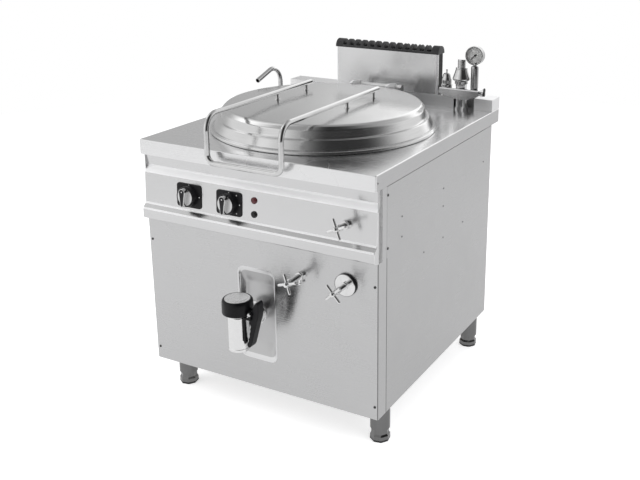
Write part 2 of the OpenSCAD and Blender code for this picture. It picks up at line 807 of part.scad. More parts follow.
// The three taps: a bonnet through the panel, and a cross handle on its spindle
panel_tap_in = 94;
panel_tap_x = cabinet_w / 2 - panel_tap_in;
panel_tap_rise = 49;
panel_tap_z = face_bottom_z + panel_tap_rise;
level_tap_out = 92;
level_tap_x = drain_x + recess_w / 2 + level_tap_out;
jacket_tap_in = 101;
jacket_tap_x = cabinet_w / 2 - jacket_tap_in;
low_tap_drop = 78;
low_tap_z = front_top_z - low_tap_drop;
panel_tap_reach = 58;
level_tap_reach = 76;
jacket_tap_reach = 72;
panel_tap_turn = 22;
level_tap_turn = 17;
jacket_tap_turn = 42;
tap_tail_r = 9;
tap_tail_l = 26;
tap_rose_r = 14;
tap_rose_h = 4;
tap_nut_r = 12;
tap_nut_h = 9;
bonnet_r = 8;
gland_r = 10;
gland_h = 9;
hub_r = 8;
hub_h = 18;
hub_cap_h = 4;
arm_r = 3.8;
arm_tip_r = 4.6;
tap_spindle_r = 4;
tap_spindle_l = 20;

module tap_body(reach, rose_r) {
    gland_top = reach - hub_h / 2 - run_gap;
    difference() {
        union() {
            translate([0, 0, -tap_tail_l]) cylinder(h = tap_tail_l, r = tap_tail_r);
            cylinder(h = tap_rose_h, r = rose_r);
            cylinder(h = tap_rose_h + tap_nut_h, r = tap_nut_r, $fn = 6);
            cylinder(h = gland_top, r = bonnet_r);
            translate([0, 0, gland_top - gland_h]) cylinder(h = gland_h, r = gland_r);
        }
        translate([0, 0, gland_top - tap_spindle_l - run_gap])
            cylinder(h = tap_spindle_l + over * 2, r = tap_spindle_r + run_gap);
    }
}

module tap_handle(reach, turn) {
    low = reach - hub_h / 2;
    translate([0, 0, low]) cylinder(h = hub_h, r = hub_r);
    translate([0, 0, low + hub_h]) cylinder(h = hub_cap_h, r1 = hub_r, r2 = hub_r / 2);
    translate([0, 0, low - tap_spindle_l]) cylinder(h = tap_spindle_l + over, r = tap_spindle_r);
    for (a = [0, 90, 180, 270]) rotate([0, 0, turn + a]) {
        translate([0, 0, reach]) rotate([0, 90, 0]) cylinder(h = cross_w / 2 - arm_tip_r, r = arm_r);
        translate([cross_w / 2 - arm_tip_r, 0, reach]) sphere(arm_tip_r);
    }
}

module panel_tap_body() {
    color("gainsboro") on_face(panel_tap_x, panel_tap_z) tap_body(panel_tap_reach, tap_rose_r);
}

module panel_tap_handle() {
    color("gainsboro") on_face(panel_tap_x, panel_tap_z) tap_handle(panel_tap_reach, panel_tap_turn);
}

module level_tap_body() {
    color("gainsboro") on_front(level_tap_x, low_tap_z) {
        tap_body(level_tap_reach, tap_rose_r);
        translate([0, -tap_nut_r, tap_rose_h + bonnet_r]) rotate([90, 0, 0])
            cylinder(h = bonnet_r, r = tap_spindle_r);
        translate([0, 0, tap_rose_h]) rotate([90, 0, 0])
            translate([0, bonnet_r, 0]) cylinder(h = tap_nut_r + over, r = tap_spindle_r + over);
    }
}

module level_tap_handle() {
    color("gainsboro") on_front(level_tap_x, low_tap_z) tap_handle(level_tap_reach, level_tap_turn);
}

module jacket_tap_body() {
    color("gainsboro") on_front(jacket_tap_x, low_tap_z) tap_body(jacket_tap_reach, rose_d / 2);
}

module jacket_tap_handle() {
    color("gainsboro") on_front(jacket_tap_x, low_tap_z) tap_handle(jacket_tap_reach, jacket_tap_turn);
}

// The drain tap: barrel, black collar and cap, plunger, and the lever that lifts it
barrel_t = 5;
barrel_below = 77;
barrel_above = 39;
seat_below = 50;
seat_w = 7;
seat_h = 4;
collar_h = 43;
collar_shoulder = 8;
collar_taper = 4;
cap_t = 3;
barrel_head = 7;
plunger_disc_h = 8;
rod_r = 6;
branch_flange_r = 36;
branch_flange_t = 8;
branch_nut_l = 14;
barrel_y = from_front(panel_setback - barrel_reach);
collar_z = drain_z + barrel_above;
collar_top = collar_z + collar_h;
pivot_out = 53;
pivot_rise = 10;
pivot_z = collar_z + pivot_rise;
pivot_r = 4;
pin_l = 33;
pin_front = 20;
ear_half = 9;
cheek_t = 4;
cheek_gap = 0.7;
lever_hub_r = 8;
lever_half = ear_half + cheek_gap + cheek_t;

module at_barrel() {
    translate([drain_x, barrel_y, 0]) children();
}

// Places an outline in X and Z round the lever's pivot, with a thickness along Y
module lever_plate(y_low, y_high) {
    at_barrel() translate([pivot_out, y_high, pivot_z]) rotate([90, 0, 0])
        linear_extrude(y_high - y_low) children();
}

module drain_tap_body() {
    low = drain_z - barrel_below;
    seat = drain_z - seat_below;
    flange_front = barrel_reach - branch_flange_t;
    color("whitesmoke") difference() {
        union() {
            at_barrel() translate([0, 0, low]) cylinder(h = collar_z - low, r = barrel_d / 2);
            translate([drain_x, barrel_y, drain_z]) rotate([-90, 0, 0]) {
                cylinder(h = barrel_reach + tap_flange_in, r = drain_d / 2);
                translate([0, 0, flange_front]) cylinder(h = branch_flange_t, r = branch_flange_r);
                translate([0, 0, flange_front - branch_nut_l])
                    cylinder(h = branch_nut_l, r = branch_flange_r - barrel_t, $fn = 8);
            }
        }
        at_barrel() translate([0, 0, low - over])
            cylinder(h = collar_z - barrel_head - low + over, r = barrel_d / 2 - barrel_t - seat_w);
        at_barrel() translate([0, 0, low - over])
            cylinder(h = seat - seat_h - low + over, r = barrel_d / 2 - barrel_t);
        at_barrel() translate([0, 0, seat])
            cylinder(h = collar_z - barrel_head - seat, r = barrel_d / 2 - barrel_t);
        at_barrel() translate([0, 0, collar_z - barrel_head - over])
            cylinder(h = barrel_head + over * 2, r = rod_r + run_gap);
        translate([drain_x, barrel_y, drain_z]) rotate([-90, 0, 0])
            cylinder(h = barrel_reach + tap_flange_in + over, r = drain_d / 2 - drain_t);
    }
}

module drain_collar() {
    r = collar_d / 2;
    color([0.1, 0.1, 0.1]) difference() {
        union() {
            at_barrel() translate([0, 0, collar_z]) rotate_extrude($fn = 96) polygon([
                [0, 0], [r - over, 0], [r, over], [r - over, collar_h - collar_shoulder],
                [r - collar_taper, collar_h], [0, collar_h]
            ]);
            lever_plate(-ear_half, ear_half) {
                circle(lever_hub_r);
                translate([-pivot_out + r - collar_taper * 2, -lever_hub_r])
                    square([pivot_out - r + collar_taper * 2, lever_hub_r * 2]);
            }
        }
        at_barrel() translate([0, 0, collar_z - over])
            cylinder(h = collar_h + over * 2, r = r - collar_taper * 2);
        lever_plate(-ear_half * 2, ear_half * 2) circle(pivot_r);
    }
    color([0.1, 0.1, 0.1]) at_barrel()
        ring(r - collar_taper * 2, barrel_d / 2 - barrel_t, collar_z, collar_z + barrel_t);
}

module drain_cap() {
    color("gainsboro") at_barrel() {
        translate([0, 0, collar_top - cap_t]) cylinder(h = cap_t, r = collar_d / 2 - collar_taper * 2);
        translate([0, 0, collar_top]) cylinder(h = over, r1 = collar_d / 2 - collar_taper * 2.5,
            r2 = collar_d / 2 - collar_taper * 3);
    }
}

module drain_plunger() {
    seat = drain_z - seat_below;
    color("gainsboro") at_barrel() translate([0, 0, seat + run_gap]) {
        cylinder(h = plunger_disc_h, r = barrel_d / 2 - barrel_t - over);
        cylinder(h = collar_top - cap_t - plunger_stroke - over - seat, r = rod_r);
    }
}

// The lever's outline, as distances from its pivot: a horn above and a long grip below
horn_up = 38;
horn_out = 28;
lever_len = 108;
lever_tip_w = 12;
lever_lean = 16;
wave_d = 3;

module drain_lever() {
    upright = [
        [lever_hub_r, lever_hub_r], [horn_out / 2, horn_up - lever_hub_r], [horn_out - lever_hub_r, horn_up],
        [horn_out, horn_up / 2], [horn_out - lever_hub_r, -lever_hub_r * 3],
        [lever_tip_w, -lever_len + lever_tip_w / 2], [lever_tip_w / 2, -lever_len],
        [-lever_tip_w / 3, -lever_len + lever_tip_w], [0, -lever_len + lever_tip_w * 2],
        [wave_d, -lever_len + lever_tip_w * 3], [0, -lever_len + lever_tip_w * 4],
        [wave_d, -lever_len + lever_tip_w * 5], [0, -lever_len + lever_tip_w * 6],
        [-lever_hub_r, -lever_hub_r * 2], [-lever_hub_r, 0]
    ];
    // Below the hub the grip leans towards the barrel
    grip = [for (p = upright) [p[0] + lever_lean * min(0, p[1] + lever_hub_r * 2) / lever_len, p[1]]];
    color([0.1, 0.1, 0.1]) difference() {
        union() {
            lever_plate(-lever_half, lever_half) polygon(grip);
            lever_plate(-lever_half, lever_half) circle(lever_hub_r);
        }
        lever_plate(-ear_half - cheek_gap, ear_half + cheek_gap) {
            circle(lever_hub_r + horn_out / 4);
            rotate([0, 0, -lever_lift]) translate([-horn_out, -lever_hub_r - over])
                square([horn_out, (lever_hub_r + over) * 2]);
            translate([-horn_out, -lever_hub_r - over]) square([horn_out, (lever_hub_r + over) * 2]);
        }
        lever_plate(-lever_half - over, lever_half + over) circle(pivot_r + run_gap);
    }
}

// The latch strip that hangs on the same pin, between the barrel and the grip
catch_t = 5;
catch_w = 6;
catch_in = 22;
catch_drop = 13;
catch_len = 92;
catch_y = -lever_half - run_gap * 2;

module drain_catch() {
    color([0.1, 0.1, 0.1]) difference() {
        lever_plate(catch_y - catch_t, catch_y) {
            circle(lever_hub_r);
            translate([-lever_hub_r / 2, -catch_drop - catch_w])
                square([lever_hub_r, catch_drop + catch_w - lever_hub_r / 2]);
            translate([-catch_in, -catch_drop - catch_w]) square([catch_in, catch_w]);
            translate([-catch_in, -catch_len]) square([catch_w, catch_len - catch_drop]);
        }
        lever_plate(catch_y - catch_t - over, catch_y + over) circle(pivot_r + run_gap);
    }
}

// Screws and rivets that show: on the front, on the sides, and the lever's pivot pin
screw_r = 4;
screw_h = 1.6;
screw_in = 10;
rivet_r = 2.6;
rivet_h = 0.8;
rivet_depth_shares = [0.188, 0.188, 0.529, 0.529, 0.367, 0.535, 0.723, 0.92];
rivet_drops = [114, 174, 113, 170, 274, 274, 273, 112];
column_screw_in = 6;
column_screw_drops = [27, 180];

module screw_head(r, h) {
    cylinder(h = h / 2, r = r);
    translate([0, 0, h / 2]) cylinder(h = h / 2, r1 = r, r2 = r - h / 2);
}

module screws() {
    front_screw_low = floor_gap + rail_h;
    front_screw_high = front_top_z - rail_h * 1.7;
    color("silver") {
        for (x = [-1, 1], z = [front_screw_low, front_screw_high])
            on_front(x * (side_x - screw_in), z) screw_head(screw_r, screw_h);
        for (side = [0, 1]) mirror([side, 0, 0]) {
            for (i = [0 : len(rivet_drops) - 1])
                translate([side_x, from_front(rear_y * rivet_depth_shares[i]), fold_z - rivet_drops[i]])
                    rotate([0, 90, 0]) screw_head(rivet_r, rivet_h);
            translate([cabinet_w / 2, from_front(screw_in), worktop_h - fold_h / 2])
                rotate([0, 90, 0]) screw_head(rivet_r, rivet_h);
            for (drop = column_screw_drops)
                translate([side_x, from_front(column_rear + column_screw_in), fold_z - drop])
                    rotate([0, 90, 0]) screw_head(screw_r, screw_h);
        }
        at_barrel() translate([pivot_out, pin_l - pin_front, pivot_z]) rotate([90, 0, 0]) {
            cylinder(h = pin_l, r = pivot_r);
            translate([0, 0, pin_l]) screw_head(pivot_r + screw_h, screw_h * 2);
        }
    }
}

// The lid: a stepped outer shell, a flat liner with a drip ring, and the gasket
lid_t = 1.5;
lid_rim_gap = 4;
lid_rim_h = 5;
lid_band_z = 38;
lid_band_in = 26;
lid_step = 2;
lid_side_z = 68;
lid_side_in = 37;
lid_shoulder_z = 76;
lid_shoulder_in = 50;
dome_steps = 10;
liner_lift = 11;
drip_r_in = 16;
drip_depth = 10;
gasket_w = 16;
gasket_mid = 15;

// Height of the shallow dome at this radius, rising from the shoulder to the lid's centre
dome_base_r = lid_d / 2 - lid_shoulder_in;
function dome_z(r) = worktop_h + lid_shoulder_z + (lid_h - lid_shoulder_z) * (1 - pow(r / dome_base_r, 2));
function dome_points(inset) = [
    for (i = [0 : dome_steps]) let (r = dome_base_r * (1 - i / dome_steps)) [r, dome_z(r) - inset]
];

module lid_shell() {
    r = lid_d / 2;
    z = worktop_h;
    outer = concat([
        [r, z + lid_rim_gap], [r, z + lid_rim_gap + lid_rim_h],
        [r - lid_band_in, z + lid_band_z], [r - lid_band_in - lid_step, z + lid_band_z],
        [r - lid_side_in, z + lid_side_z]
    ], dome_points(0));
    inner = [
        [r - lid_side_in - lid_t, z + lid_side_z - lid_t / 2],
        [r - lid_band_in - lid_step - lid_t, z + lid_band_z - lid_t],
        [r - lid_band_in - lid_t / 2, z + lid_band_z - lid_t],
        [r - lid_t, z + lid_rim_gap + lid_rim_h - lid_t / 2], [r - lid_t, z + lid_rim_gap]
    ];
    dome_in = dome_points(lid_t);
    color("silver") at_vessel() rotate_extrude($fn = 128)
        polygon(concat(outer, [for (i = [dome_steps : -1 : 0]) dome_in[i]], inner));
}

// The space under the lid's outer face, for cutting what stands on it
module lid_envelope() {
    r = lid_d / 2;
    z = worktop_h;
    at_vessel() rotate_extrude($fn = 128)
        polygon(concat([
            [0, z + lid_band_z], [r - lid_band_in - lid_step, z + lid_band_z],
            [r - lid_side_in, z + lid_side_z]
        ], dome_points(0)));
}

module lid_liner() {
    r = lid_d / 2 - lid_t;
    drip = vessel_d / 2 - drip_r_in;
    low = worktop_h + liner_lift;
    color("silver") at_vessel() {
        rotate_extrude($fn = 128) polygon([
            [0, low], [drip, low], [drip, worktop_h - drip_depth],
            [drip + lid_t, worktop_h - drip_depth], [drip + lid_t, low],
            [r - lid_rim_h, low], [r, worktop_h + lid_rim_gap], [r, worktop_h + lid_rim_gap + lid_t * 2],
            [r - lid_rim_h, low + lid_t], [0, low + lid_t]
        ]);
    }
}

module lid_gasket() {
    mid = vessel_d / 2 + gasket_mid;
    color([0.3, 0.3, 0.3]) at_vessel()
        ring(mid + gasket_w / 2, mid - gasket_w / 2, worktop_h + vessel_t + run_gap, worktop_h + liner_lift);
}

// The lid's handle: one tube, with two rods over the lid, two legs and the grip in front
handle_bend = 45;
grip_bend = 24;
rod_behind = 125;
rod_rear = vessel_setback + rod_behind;
rod_z = worktop_h + handle_h;
grip_z = rod_z - grip_drop;
post_r = 6;
post_before = 71;
post_behind = 97;
post_setbacks = [vessel_setback - post_before, vessel_setback + post_behind];

module quarter(bend, r) {
    rotate_extrude(angle = 90) translate([bend, 0]) circle(r);
}

module handle_half(r) {
    x = handle_w / 2;
    translate([x, from_front(rod_rear), rod_z]) rotate([90, 0, 0])
        cylinder(h = rod_rear + grip_reach - handle_bend, r = r);
    translate([x, from_front(rod_rear), rod_z]) sphere(r);
    translate([x, from_front(handle_bend - grip_reach), rod_z - handle_bend])
        rotate([90, 0, -90]) quarter(handle_bend, r);
    translate([x, from_front(-grip_reach), grip_z + grip_bend])
        cylinder(h = grip_drop - handle_bend - grip_bend, r = r);
    translate([x - grip_bend, from_front(-grip_reach), grip_z + grip_bend])
        rotate([-90, 0, 0]) quarter(grip_bend, r);
    translate([0, from_front(-grip_reach), grip_z]) rotate([0, 90, 0])
        cylinder(h = x - grip_bend, r = r);
}

module lid_handle() {
    color("gainsboro") {
        handle_half(handle_tube_d / 2);
        mirror([1, 0, 0]) handle_half(handle_tube_d / 2);
    }
}

module handle_posts() {
    color("gainsboro") difference() {
        for (x = [-1, 1], y = post_setbacks)
            translate([x * handle_w / 2, from_front(y), worktop_h + lid_band_z])
                cylinder(h = handle_h - lid_band_z, r = post_r);
        lid_envelope();
        for (x = [-1, 1]) translate([x * handle_w / 2, from_front(rod_rear), rod_z]) rotate([90, 0, 0])
            cylinder(h = rod_rear, r = handle_tube_d / 2);
    }
}

// The hinge: a tube across the rear on two pillars, and two arms from it to the lid
hinge_behind = 5;
hinge_setback = vessel_setback + lid_d / 2 + hinge_behind;
hinge_z = worktop_h + hinge_h;
knuckle_t = 4;
knuckle_r = hinge_tube_d / 2 + knuckle_t;
arm_x = 64;
arm_w = 8;
arm_foot_in = 66;
arm_foot_out = 44;
arm_foot_h = 4;
arm_bar_h = 8;
pillar_w = 13;
pillar_d = 20;
pillar_foot_w = 26;
pillar_foot_h = 5;
pillar_wall = 4;
tube_wall = 2;

module hinge_arms() {
    foot_z = dome_z(hinge_setback - vessel_setback - arm_foot_in);
    color("gainsboro") difference() {
        for (side = [0, 1]) mirror([side, 0, 0]) {
            across([
                [hinge_setback, hinge_z + knuckle_r], [hinge_setback - arm_foot_out, foot_z + arm_bar_h],
                [hinge_setback - arm_foot_in, foot_z + arm_foot_h],
                [hinge_setback - arm_foot_in, foot_z - arm_foot_h],
                [hinge_setback - arm_foot_out, foot_z - arm_foot_h],
                [hinge_setback, hinge_z - knuckle_r / 4]
            ], arm_x, arm_x + arm_w);
            translate([arm_x, from_front(hinge_setback), hinge_z]) rotate([0, 90, 0])
                cylinder(h = arm_w, r = knuckle_r);
        }
        lid_envelope();
        translate([0, from_front(hinge_setback), hinge_z]) rotate([0, 90, 0])
            cylinder(h = hinge_tube_l * 2, r = hinge_tube_d / 2 + run_gap, center = true);
    }
}

module hinge_pillars() {
    x = hinge_tube_l / 2 - pillar_w;
    color("gainsboro") for (side = [0, 1]) mirror([side, 0, 0]) difference() {
        union() {
            between([x, hinge_setback - pillar_d / 2, worktop_h], [x + pillar_w, hinge_setback + pillar_d / 2, hinge_z]);
            translate([x, from_front(hinge_setback), hinge_z]) rotate([0, 90, 0])
                cylinder(h = pillar_w, r = pillar_d / 2);
            between([x, hinge_setback - pillar_d / 2, worktop_h],
                [x + pillar_foot_w, hinge_setback + pillar_foot_w, worktop_h + pillar_foot_h]);
        }
        translate([0, from_front(hinge_setback), hinge_z]) rotate([0, 90, 0])
            cylinder(h = x + pillar_w - pillar_wall, r = hinge_tube_d / 2);
    }
}

module hinge_tube() {
    l = hinge_tube_l - pillar_wall * 2;
    color("gainsboro") translate([-l / 2, from_front(hinge_setback), hinge_z]) rotate([0, 90, 0]) difference() {
        cylinder(h = l, r = hinge_tube_d / 2);
        translate([0, 0, -over]) cylinder(h = l + over * 2, r = hinge_tube_d / 2 - tube_wall);
    }
}

// The swivelling water spout at the worktop's left rear, and the socket it turns in
spout_x = cabinet_w / 2 - spout_inset;
spout_before = 195;
spout_setback = cabinet_d - spout_before;
spout_neck_r = 8;
spout_neck_l = 5;
spout_tail_r = 9;
spout_tail_l = 60;
socket_r = 14;
socket_h = 34;
socket_flange_r = 19;
socket_flange_h = 5;
spout_bend = 50;
spout_dip = 18;
spout_wall = 1.5;
spout_low = 10;
sleeve_lap = 3;
sleeve_step = 0.3;

module at_spout() {
    translate([-spout_x, from_front(spout_setback), 0]) children();
}

module spout_base() {
    color("gainsboro") at_spout() translate([0, 0, worktop_h]) difference() {
        union() {
            translate([0, 0, -spout_tail_l])
                cylinder(h = spout_tail_l - spout_neck_l, r = spout_tail_r);
            translate([0, 0, -spout_neck_l]) cylinder(h = spout_neck_l, r = spout_neck_r);
            cylinder(h = socket_flange_h, r = socket_flange_r);
            cylinder(h = socket_h, r = socket_r);
        }
        translate([0, 0, spout_low - run_gap]) cylinder(h = socket_h, r = spout_d / 2 + run_gap);
        translate([0, 0, -spout_tail_l - over])
            cylinder(h = spout_tail_l + socket_h, r = spout_d / 2 - spout_wall * 2);
    }
}

// The spout goes straight up and round the arch, and a sleeve carries it down to the mouth
module spout() {
    arch_z = spout_h - spout_bend - spout_d / 2;
    mouth_l = (spout_reach - spout_bend * (1 + sin(spout_dip))) / cos(spout_dip);
    bore_r = spout_d / 2 - spout_wall;
    color("gainsboro") at_spout() translate([0, 0, worktop_h]) rotate([0, 0, -90]) {
        difference() {
            translate([0, 0, spout_low]) cylinder(h = arch_z - spout_low, r = spout_d / 2);
            translate([0, 0, spout_low - over]) cylinder(h = arch_z - spout_low, r = bore_r);
        }
        translate([spout_bend, 0, arch_z]) rotate([90, 0, 180]) {
            rotate_extrude(angle = 90 + spout_dip) translate([spout_bend, 0]) circle(spout_d / 2);
            rotate([0, 0, 90 + spout_dip]) translate([spout_bend, -sleeve_lap, 0])
                rotate([-90, 0, 0]) difference() {
                    cylinder(h = mouth_l + sleeve_lap, r = spout_d / 2 + sleeve_step);
                    translate([0, 0, sleeve_lap + over]) cylinder(h = mouth_l, r = bore_r);
                }
        }
    }
}

// The safety group: a manifold on two pipes, with its valves, gauge and purge cock
group_out = 84;
group_x = flue_w / 2 + group_out;
group_in = 10;
group_setback = upstand_y + group_in;
manifold_before = 15;
manifold_front = upstand_y - manifold_before;
manifold_d = 47;
manifold_low = 51;
manifold_h = 71;
manifold_top = worktop_h + manifold_h;
skirt_low = 35;
pipe_r = 9;
pipe_nut_r = 13;
pipe_nut_h = 9;
pipe_places = [-2, 20];
pipe_before = 5;
pipe_setback = upstand_y - pipe_before;
breaker_out = -54;
gauge_out = 47;
manifold_out = 71;
cock_r = 8;
cock_l = 9;
valve_base_r = 19;
valve_base_h = 12;
valve_neck_r = 14;
valve_neck_h = 22;
valve_bell_r = 31;
valve_bell_h = 28;
valve_bell_top = 66;
valve_cap_r = 13;

module at_group(out, z) {
    translate([group_x + out, from_front(group_setback), z]) children();
}

module safety_manifold() {
    low_x = group_x - manifold_out;
    top = manifold_top;
    color("gray") {
        difference() {
            between([low_x, manifold_front, upstand_z + run_gap],
                [low_x + manifold_w, manifold_front + manifold_d, top]);
            between([low_x - over, manifold_front - over, upstand_z - over],
                [low_x + pipe_nut_r, manifold_front + manifold_d + over, worktop_h + manifold_low]);
            between([low_x + manifold_w - pipe_nut_r * 3, manifold_front - over, upstand_z - over],
                [low_x + manifold_w + over, manifold_front + manifold_d + over, worktop_h + manifold_low]);
        }
        translate([group_x, from_front(manifold_front), 0]) rotate([90, 0, 0])
            translate([0, 0, -sheet_t]) linear_extrude(sheet_t) polygon([
                [-manifold_out, worktop_h + manifold_low], [pipe_places[0] - pipe_r, worktop_h + skirt_low],
                [pipe_places[1] + pipe_r, worktop_h + skirt_low],
                [manifold_w - manifold_out, worktop_h + manifold_low], [manifold_w - manifold_out, top],
                [-manifold_out, top]
            ]);
        for (x = pipe_places) translate([group_x + x, from_front(pipe_setback), worktop_h]) {
            cylinder(h = top - worktop_h, r = pipe_r);
            cylinder(h = pipe_nut_h, r = pipe_nut_r, $fn = 8);
        }
        at_group(manifold_w - manifold_out, worktop_h + manifold_low + cock_r / 2) rotate([0, 90, 0])
            cylinder(h = cock_l, r = cock_r);
    }
}

module safety_valve() {
    bell = manifold_top + valve_base_h + valve_neck_h - valve_neck_r;
    color("gainsboro") at_group(0, 0) {
        translate([0, 0, manifold_top]) cylinder(h = valve_base_h, r = valve_base_r, $fn = 6);
        translate([0, 0, manifold_top]) cylinder(h = valve_neck_h + over, r = valve_neck_r);
        translate([0, 0, bell]) rotate_extrude() polygon([
            [0, 0], [valve_base_r, 0], [valve_bell_r, valve_bell_h / 2 - valve_neck_r / 2],
            [valve_bell_r, valve_bell_h / 2], [valve_neck_r + over * 2, valve_bell_top - valve_bell_h],
            [valve_cap_r, valve_bell_top - valve_bell_h + over * 4], [0, valve_bell_top - valve_bell_h + over * 4]
        ]);
        translate([0, 0, bell]) cylinder(h = worktop_h + valve_h - bell, r = valve_cap_r);
    }
}

// The vacuum breaker is a small domed valve with a pin that lifts
breaker_r = 20;
breaker_step = 9;
breaker_h = 24;
breaker_dome_r = 12;
breaker_top = 46;
pin_r = 2.5;
pin_top = 58;
pin_low = 12;
pin_travel = 4;
pin_collar_r = 5;

module vacuum_breaker() {
    color("gainsboro") at_group(breaker_out, manifold_top) difference() {
        rotate_extrude() polygon([
            [0, 0], [breaker_r, 0], [breaker_r, breaker_step], [breaker_r - over * 2, breaker_step + over],
            [breaker_r - over * 2, breaker_h], [breaker_dome_r, breaker_top - over * 4],
            [breaker_dome_r - over * 4, breaker_top], [0, breaker_top]
        ]);
        translate([0, 0, pin_low]) cylinder(h = breaker_top, r = pin_r + run_gap);
    }
}

module vacuum_pin() {
    color("gainsboro") at_group(breaker_out, manifold_top) {
        translate([0, 0, pin_low + run_gap]) cylinder(h = pin_top - pin_low - run_gap, r = pin_r);
        translate([0, 0, pin_top - pin_r]) cylinder(h = pin_r, r = pin_collar_r / 1.4);
    }
}

// The pressure gauge on its thick stem: case, dial, needle and glass
gauge_z = worktop_h + gauge_h;
gauge_depth = 25;
gauge_wall = 2.5;
gauge_floor = 12;
dial_t = 1;
glass_t = 2;
glass_in = 1.5;
needle_t = 0.8;
needle_lift = 2.6;
needle_l = 22;
needle_tail = 7;
needle_w = 2.4;
needle_zero = 135;
stem_r = 13;
stem_gap = 3.5;
stem_h = gauge_z - gauge_d / 2 - stem_gap - manifold_top;
neck_r = 6;

// Places children at the gauge's centre with Z pointing out of its face
module on_gauge() {
    at_group(gauge_out, gauge_z) translate([0, gauge_depth / 2, 0]) rotate([90, 0, 0]) children();
}

module gauge_case() {
    color("silver") {
        on_gauge() difference() {
            cylinder(h = gauge_depth, r = gauge_d / 2);
            translate([0, 0, gauge_floor]) cylinder(h = gauge_depth, r = gauge_d / 2 - gauge_wall);
        }
        on_gauge() translate([0, 0, gauge_floor]) cylinder(h = needle_lift, r = needle_w / 2);
        at_group(gauge_out, manifold_top) cylinder(h = stem_h, r = stem_r);
        difference() {
            at_group(gauge_out, manifold_top) cylinder(h = gauge_z - manifold_top, r = neck_r);
            on_gauge() translate([0, 0, -over * 4]) cylinder(h = gauge_depth * 2, r = gauge_d / 2 - gauge_wall);
        }
    }
}

module gauge_dial() {
    color("white") on_gauge() translate([0, 0, gauge_floor]) difference() {
        cylinder(h = dial_t, r = gauge_d / 2 - gauge_wall);
        translate([0, 0, -over]) cylinder(h = dial_t + over * 2, r = needle_w / 2);
    }
}

module gauge_needle() {
    color([0.1, 0.1, 0.1]) on_gauge() translate([0, 0, gauge_floor + needle_lift + run_gap]) {
        rotate([0, 0, needle_zero]) linear_extrude(needle_t) polygon([
            [-needle_w / 2, -needle_tail], [needle_w / 2, -needle_tail], [needle_w / 4, needle_l],
            [-needle_w / 4, needle_l]
        ]);
        cylinder(h = needle_t * 2, r = needle_w);
    }
}

module gauge_glass() {
    color("lightcyan") on_gauge() translate([0, 0, gauge_depth - glass_in - glass_t])
        cylinder(h = glass_t, r = gauge_d / 2 - gauge_wall);
}

// The purge cock's small lever, upright when the cock is shut
purge_l = 28;
purge_w = 7;
purge_t = 3;

module purge_lever() {
    color([0.1, 0.1, 0.1])
        at_group(manifold_w - manifold_out + cock_l + run_gap, worktop_h + manifold_low + cock_r / 2) {
            rotate([0, 90, 0]) cylinder(h = purge_t, r = purge_w);
            translate([0, -purge_w / 2, 0]) cube([purge_t, purge_w, purge_l]);
            translate([0, 0, purge_l]) rotate([0, 90, 0]) cylinder(h = purge_t * 2, r = purge_w * 0.7);
        }
}

base_frame();
foot_sleeves();
foot_pads();
left_side_panel();
right_side_panel();
rear_panel();
front_panel();
tap_recess();
control_panel();
worktop();
rear_upstand();
flue_housing();
flue_cap();
combustion_chamber();
vessel();
steam_jacket();
insulation();
drain_pipe();
burner_tubes();
gas_manifold();
gas_valve();
power_switch();
lid_shell();
lid_liner();
lid_gasket();
lid_handle();
handle_posts();
hinge_arms();
hinge_pillars();
hinge_tube();
spout_base();
spout();
knob_plates();
switch_knob();
gas_knob();
indicator_lamp();
igniter_body();
igniter_button();
panel_tap_body();
panel_tap_handle();
level_tap_body();
level_tap_handle();
jacket_tap_body();
jacket_tap_handle();
drain_tap_body();
drain_collar();
drain_cap();
drain_plunger();
drain_lever();
drain_catch();
screws();
safety_manifold();
safety_valve();
vacuum_breaker();
vacuum_pin();
gauge_case();
gauge_dial();
gauge_needle();
gauge_glass();
purge_lever();
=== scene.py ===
from math import atan2, cos, hypot, pi, radians, sin

import bpy
from mathutils import Matrix, Vector


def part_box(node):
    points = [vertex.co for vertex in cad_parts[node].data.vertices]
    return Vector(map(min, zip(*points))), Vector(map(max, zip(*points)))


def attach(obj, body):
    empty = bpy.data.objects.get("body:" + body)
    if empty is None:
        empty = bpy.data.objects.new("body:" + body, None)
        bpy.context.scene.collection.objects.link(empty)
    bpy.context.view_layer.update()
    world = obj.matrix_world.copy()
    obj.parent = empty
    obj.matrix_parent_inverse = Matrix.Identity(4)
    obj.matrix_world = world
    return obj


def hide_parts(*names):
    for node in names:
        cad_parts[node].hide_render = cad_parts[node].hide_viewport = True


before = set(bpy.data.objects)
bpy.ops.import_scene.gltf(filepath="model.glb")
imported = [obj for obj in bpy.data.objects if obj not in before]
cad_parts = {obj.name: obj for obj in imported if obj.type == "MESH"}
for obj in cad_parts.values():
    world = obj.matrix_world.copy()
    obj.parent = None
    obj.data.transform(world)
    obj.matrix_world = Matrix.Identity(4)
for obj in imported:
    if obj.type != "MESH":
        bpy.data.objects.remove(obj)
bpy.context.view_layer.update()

# Camera: at eye height, in front of the pan and to its right, looking a little down. Its small
# shift keeps the pan where the photograph has it.
bpy.ops.object.select_all(action="DESELECT")
bpy.ops.object.camera_add(location=(1.4517, -2.4475, 1.5444))
camera = bpy.context.active_object
camera.name = "studio_camera"
yaw, pitch = 0.494, -0.298
ahead = Vector((-sin(yaw) * cos(pitch), cos(yaw) * cos(pitch), sin(pitch)))
camera.rotation_euler = ahead.to_track_quat("-Z", "Y").to_euler()
camera.data.lens = 51.4
camera.data.shift_x = -0.075
camera.data.shift_y = -0.10
bpy.context.scene.camera = camera
bpy.context.scene.view_settings.view_transform = "Standard"


# Floor and light: a pale studio floor under a white surround, one large soft lamp to the left
# of the camera, one to the right and one behind. The surround is darker overhead, so that
# polished steel has something to mirror.
def wire(tree, source, target):
    tree.links.new(source, target)


def feed(tree, socket, value):
    """Wires another socket to this one, or sets it to a number or a vector."""
    if hasattr(value, "is_linked"):
        wire(tree, value, socket)
    else:
        socket.default_value = value


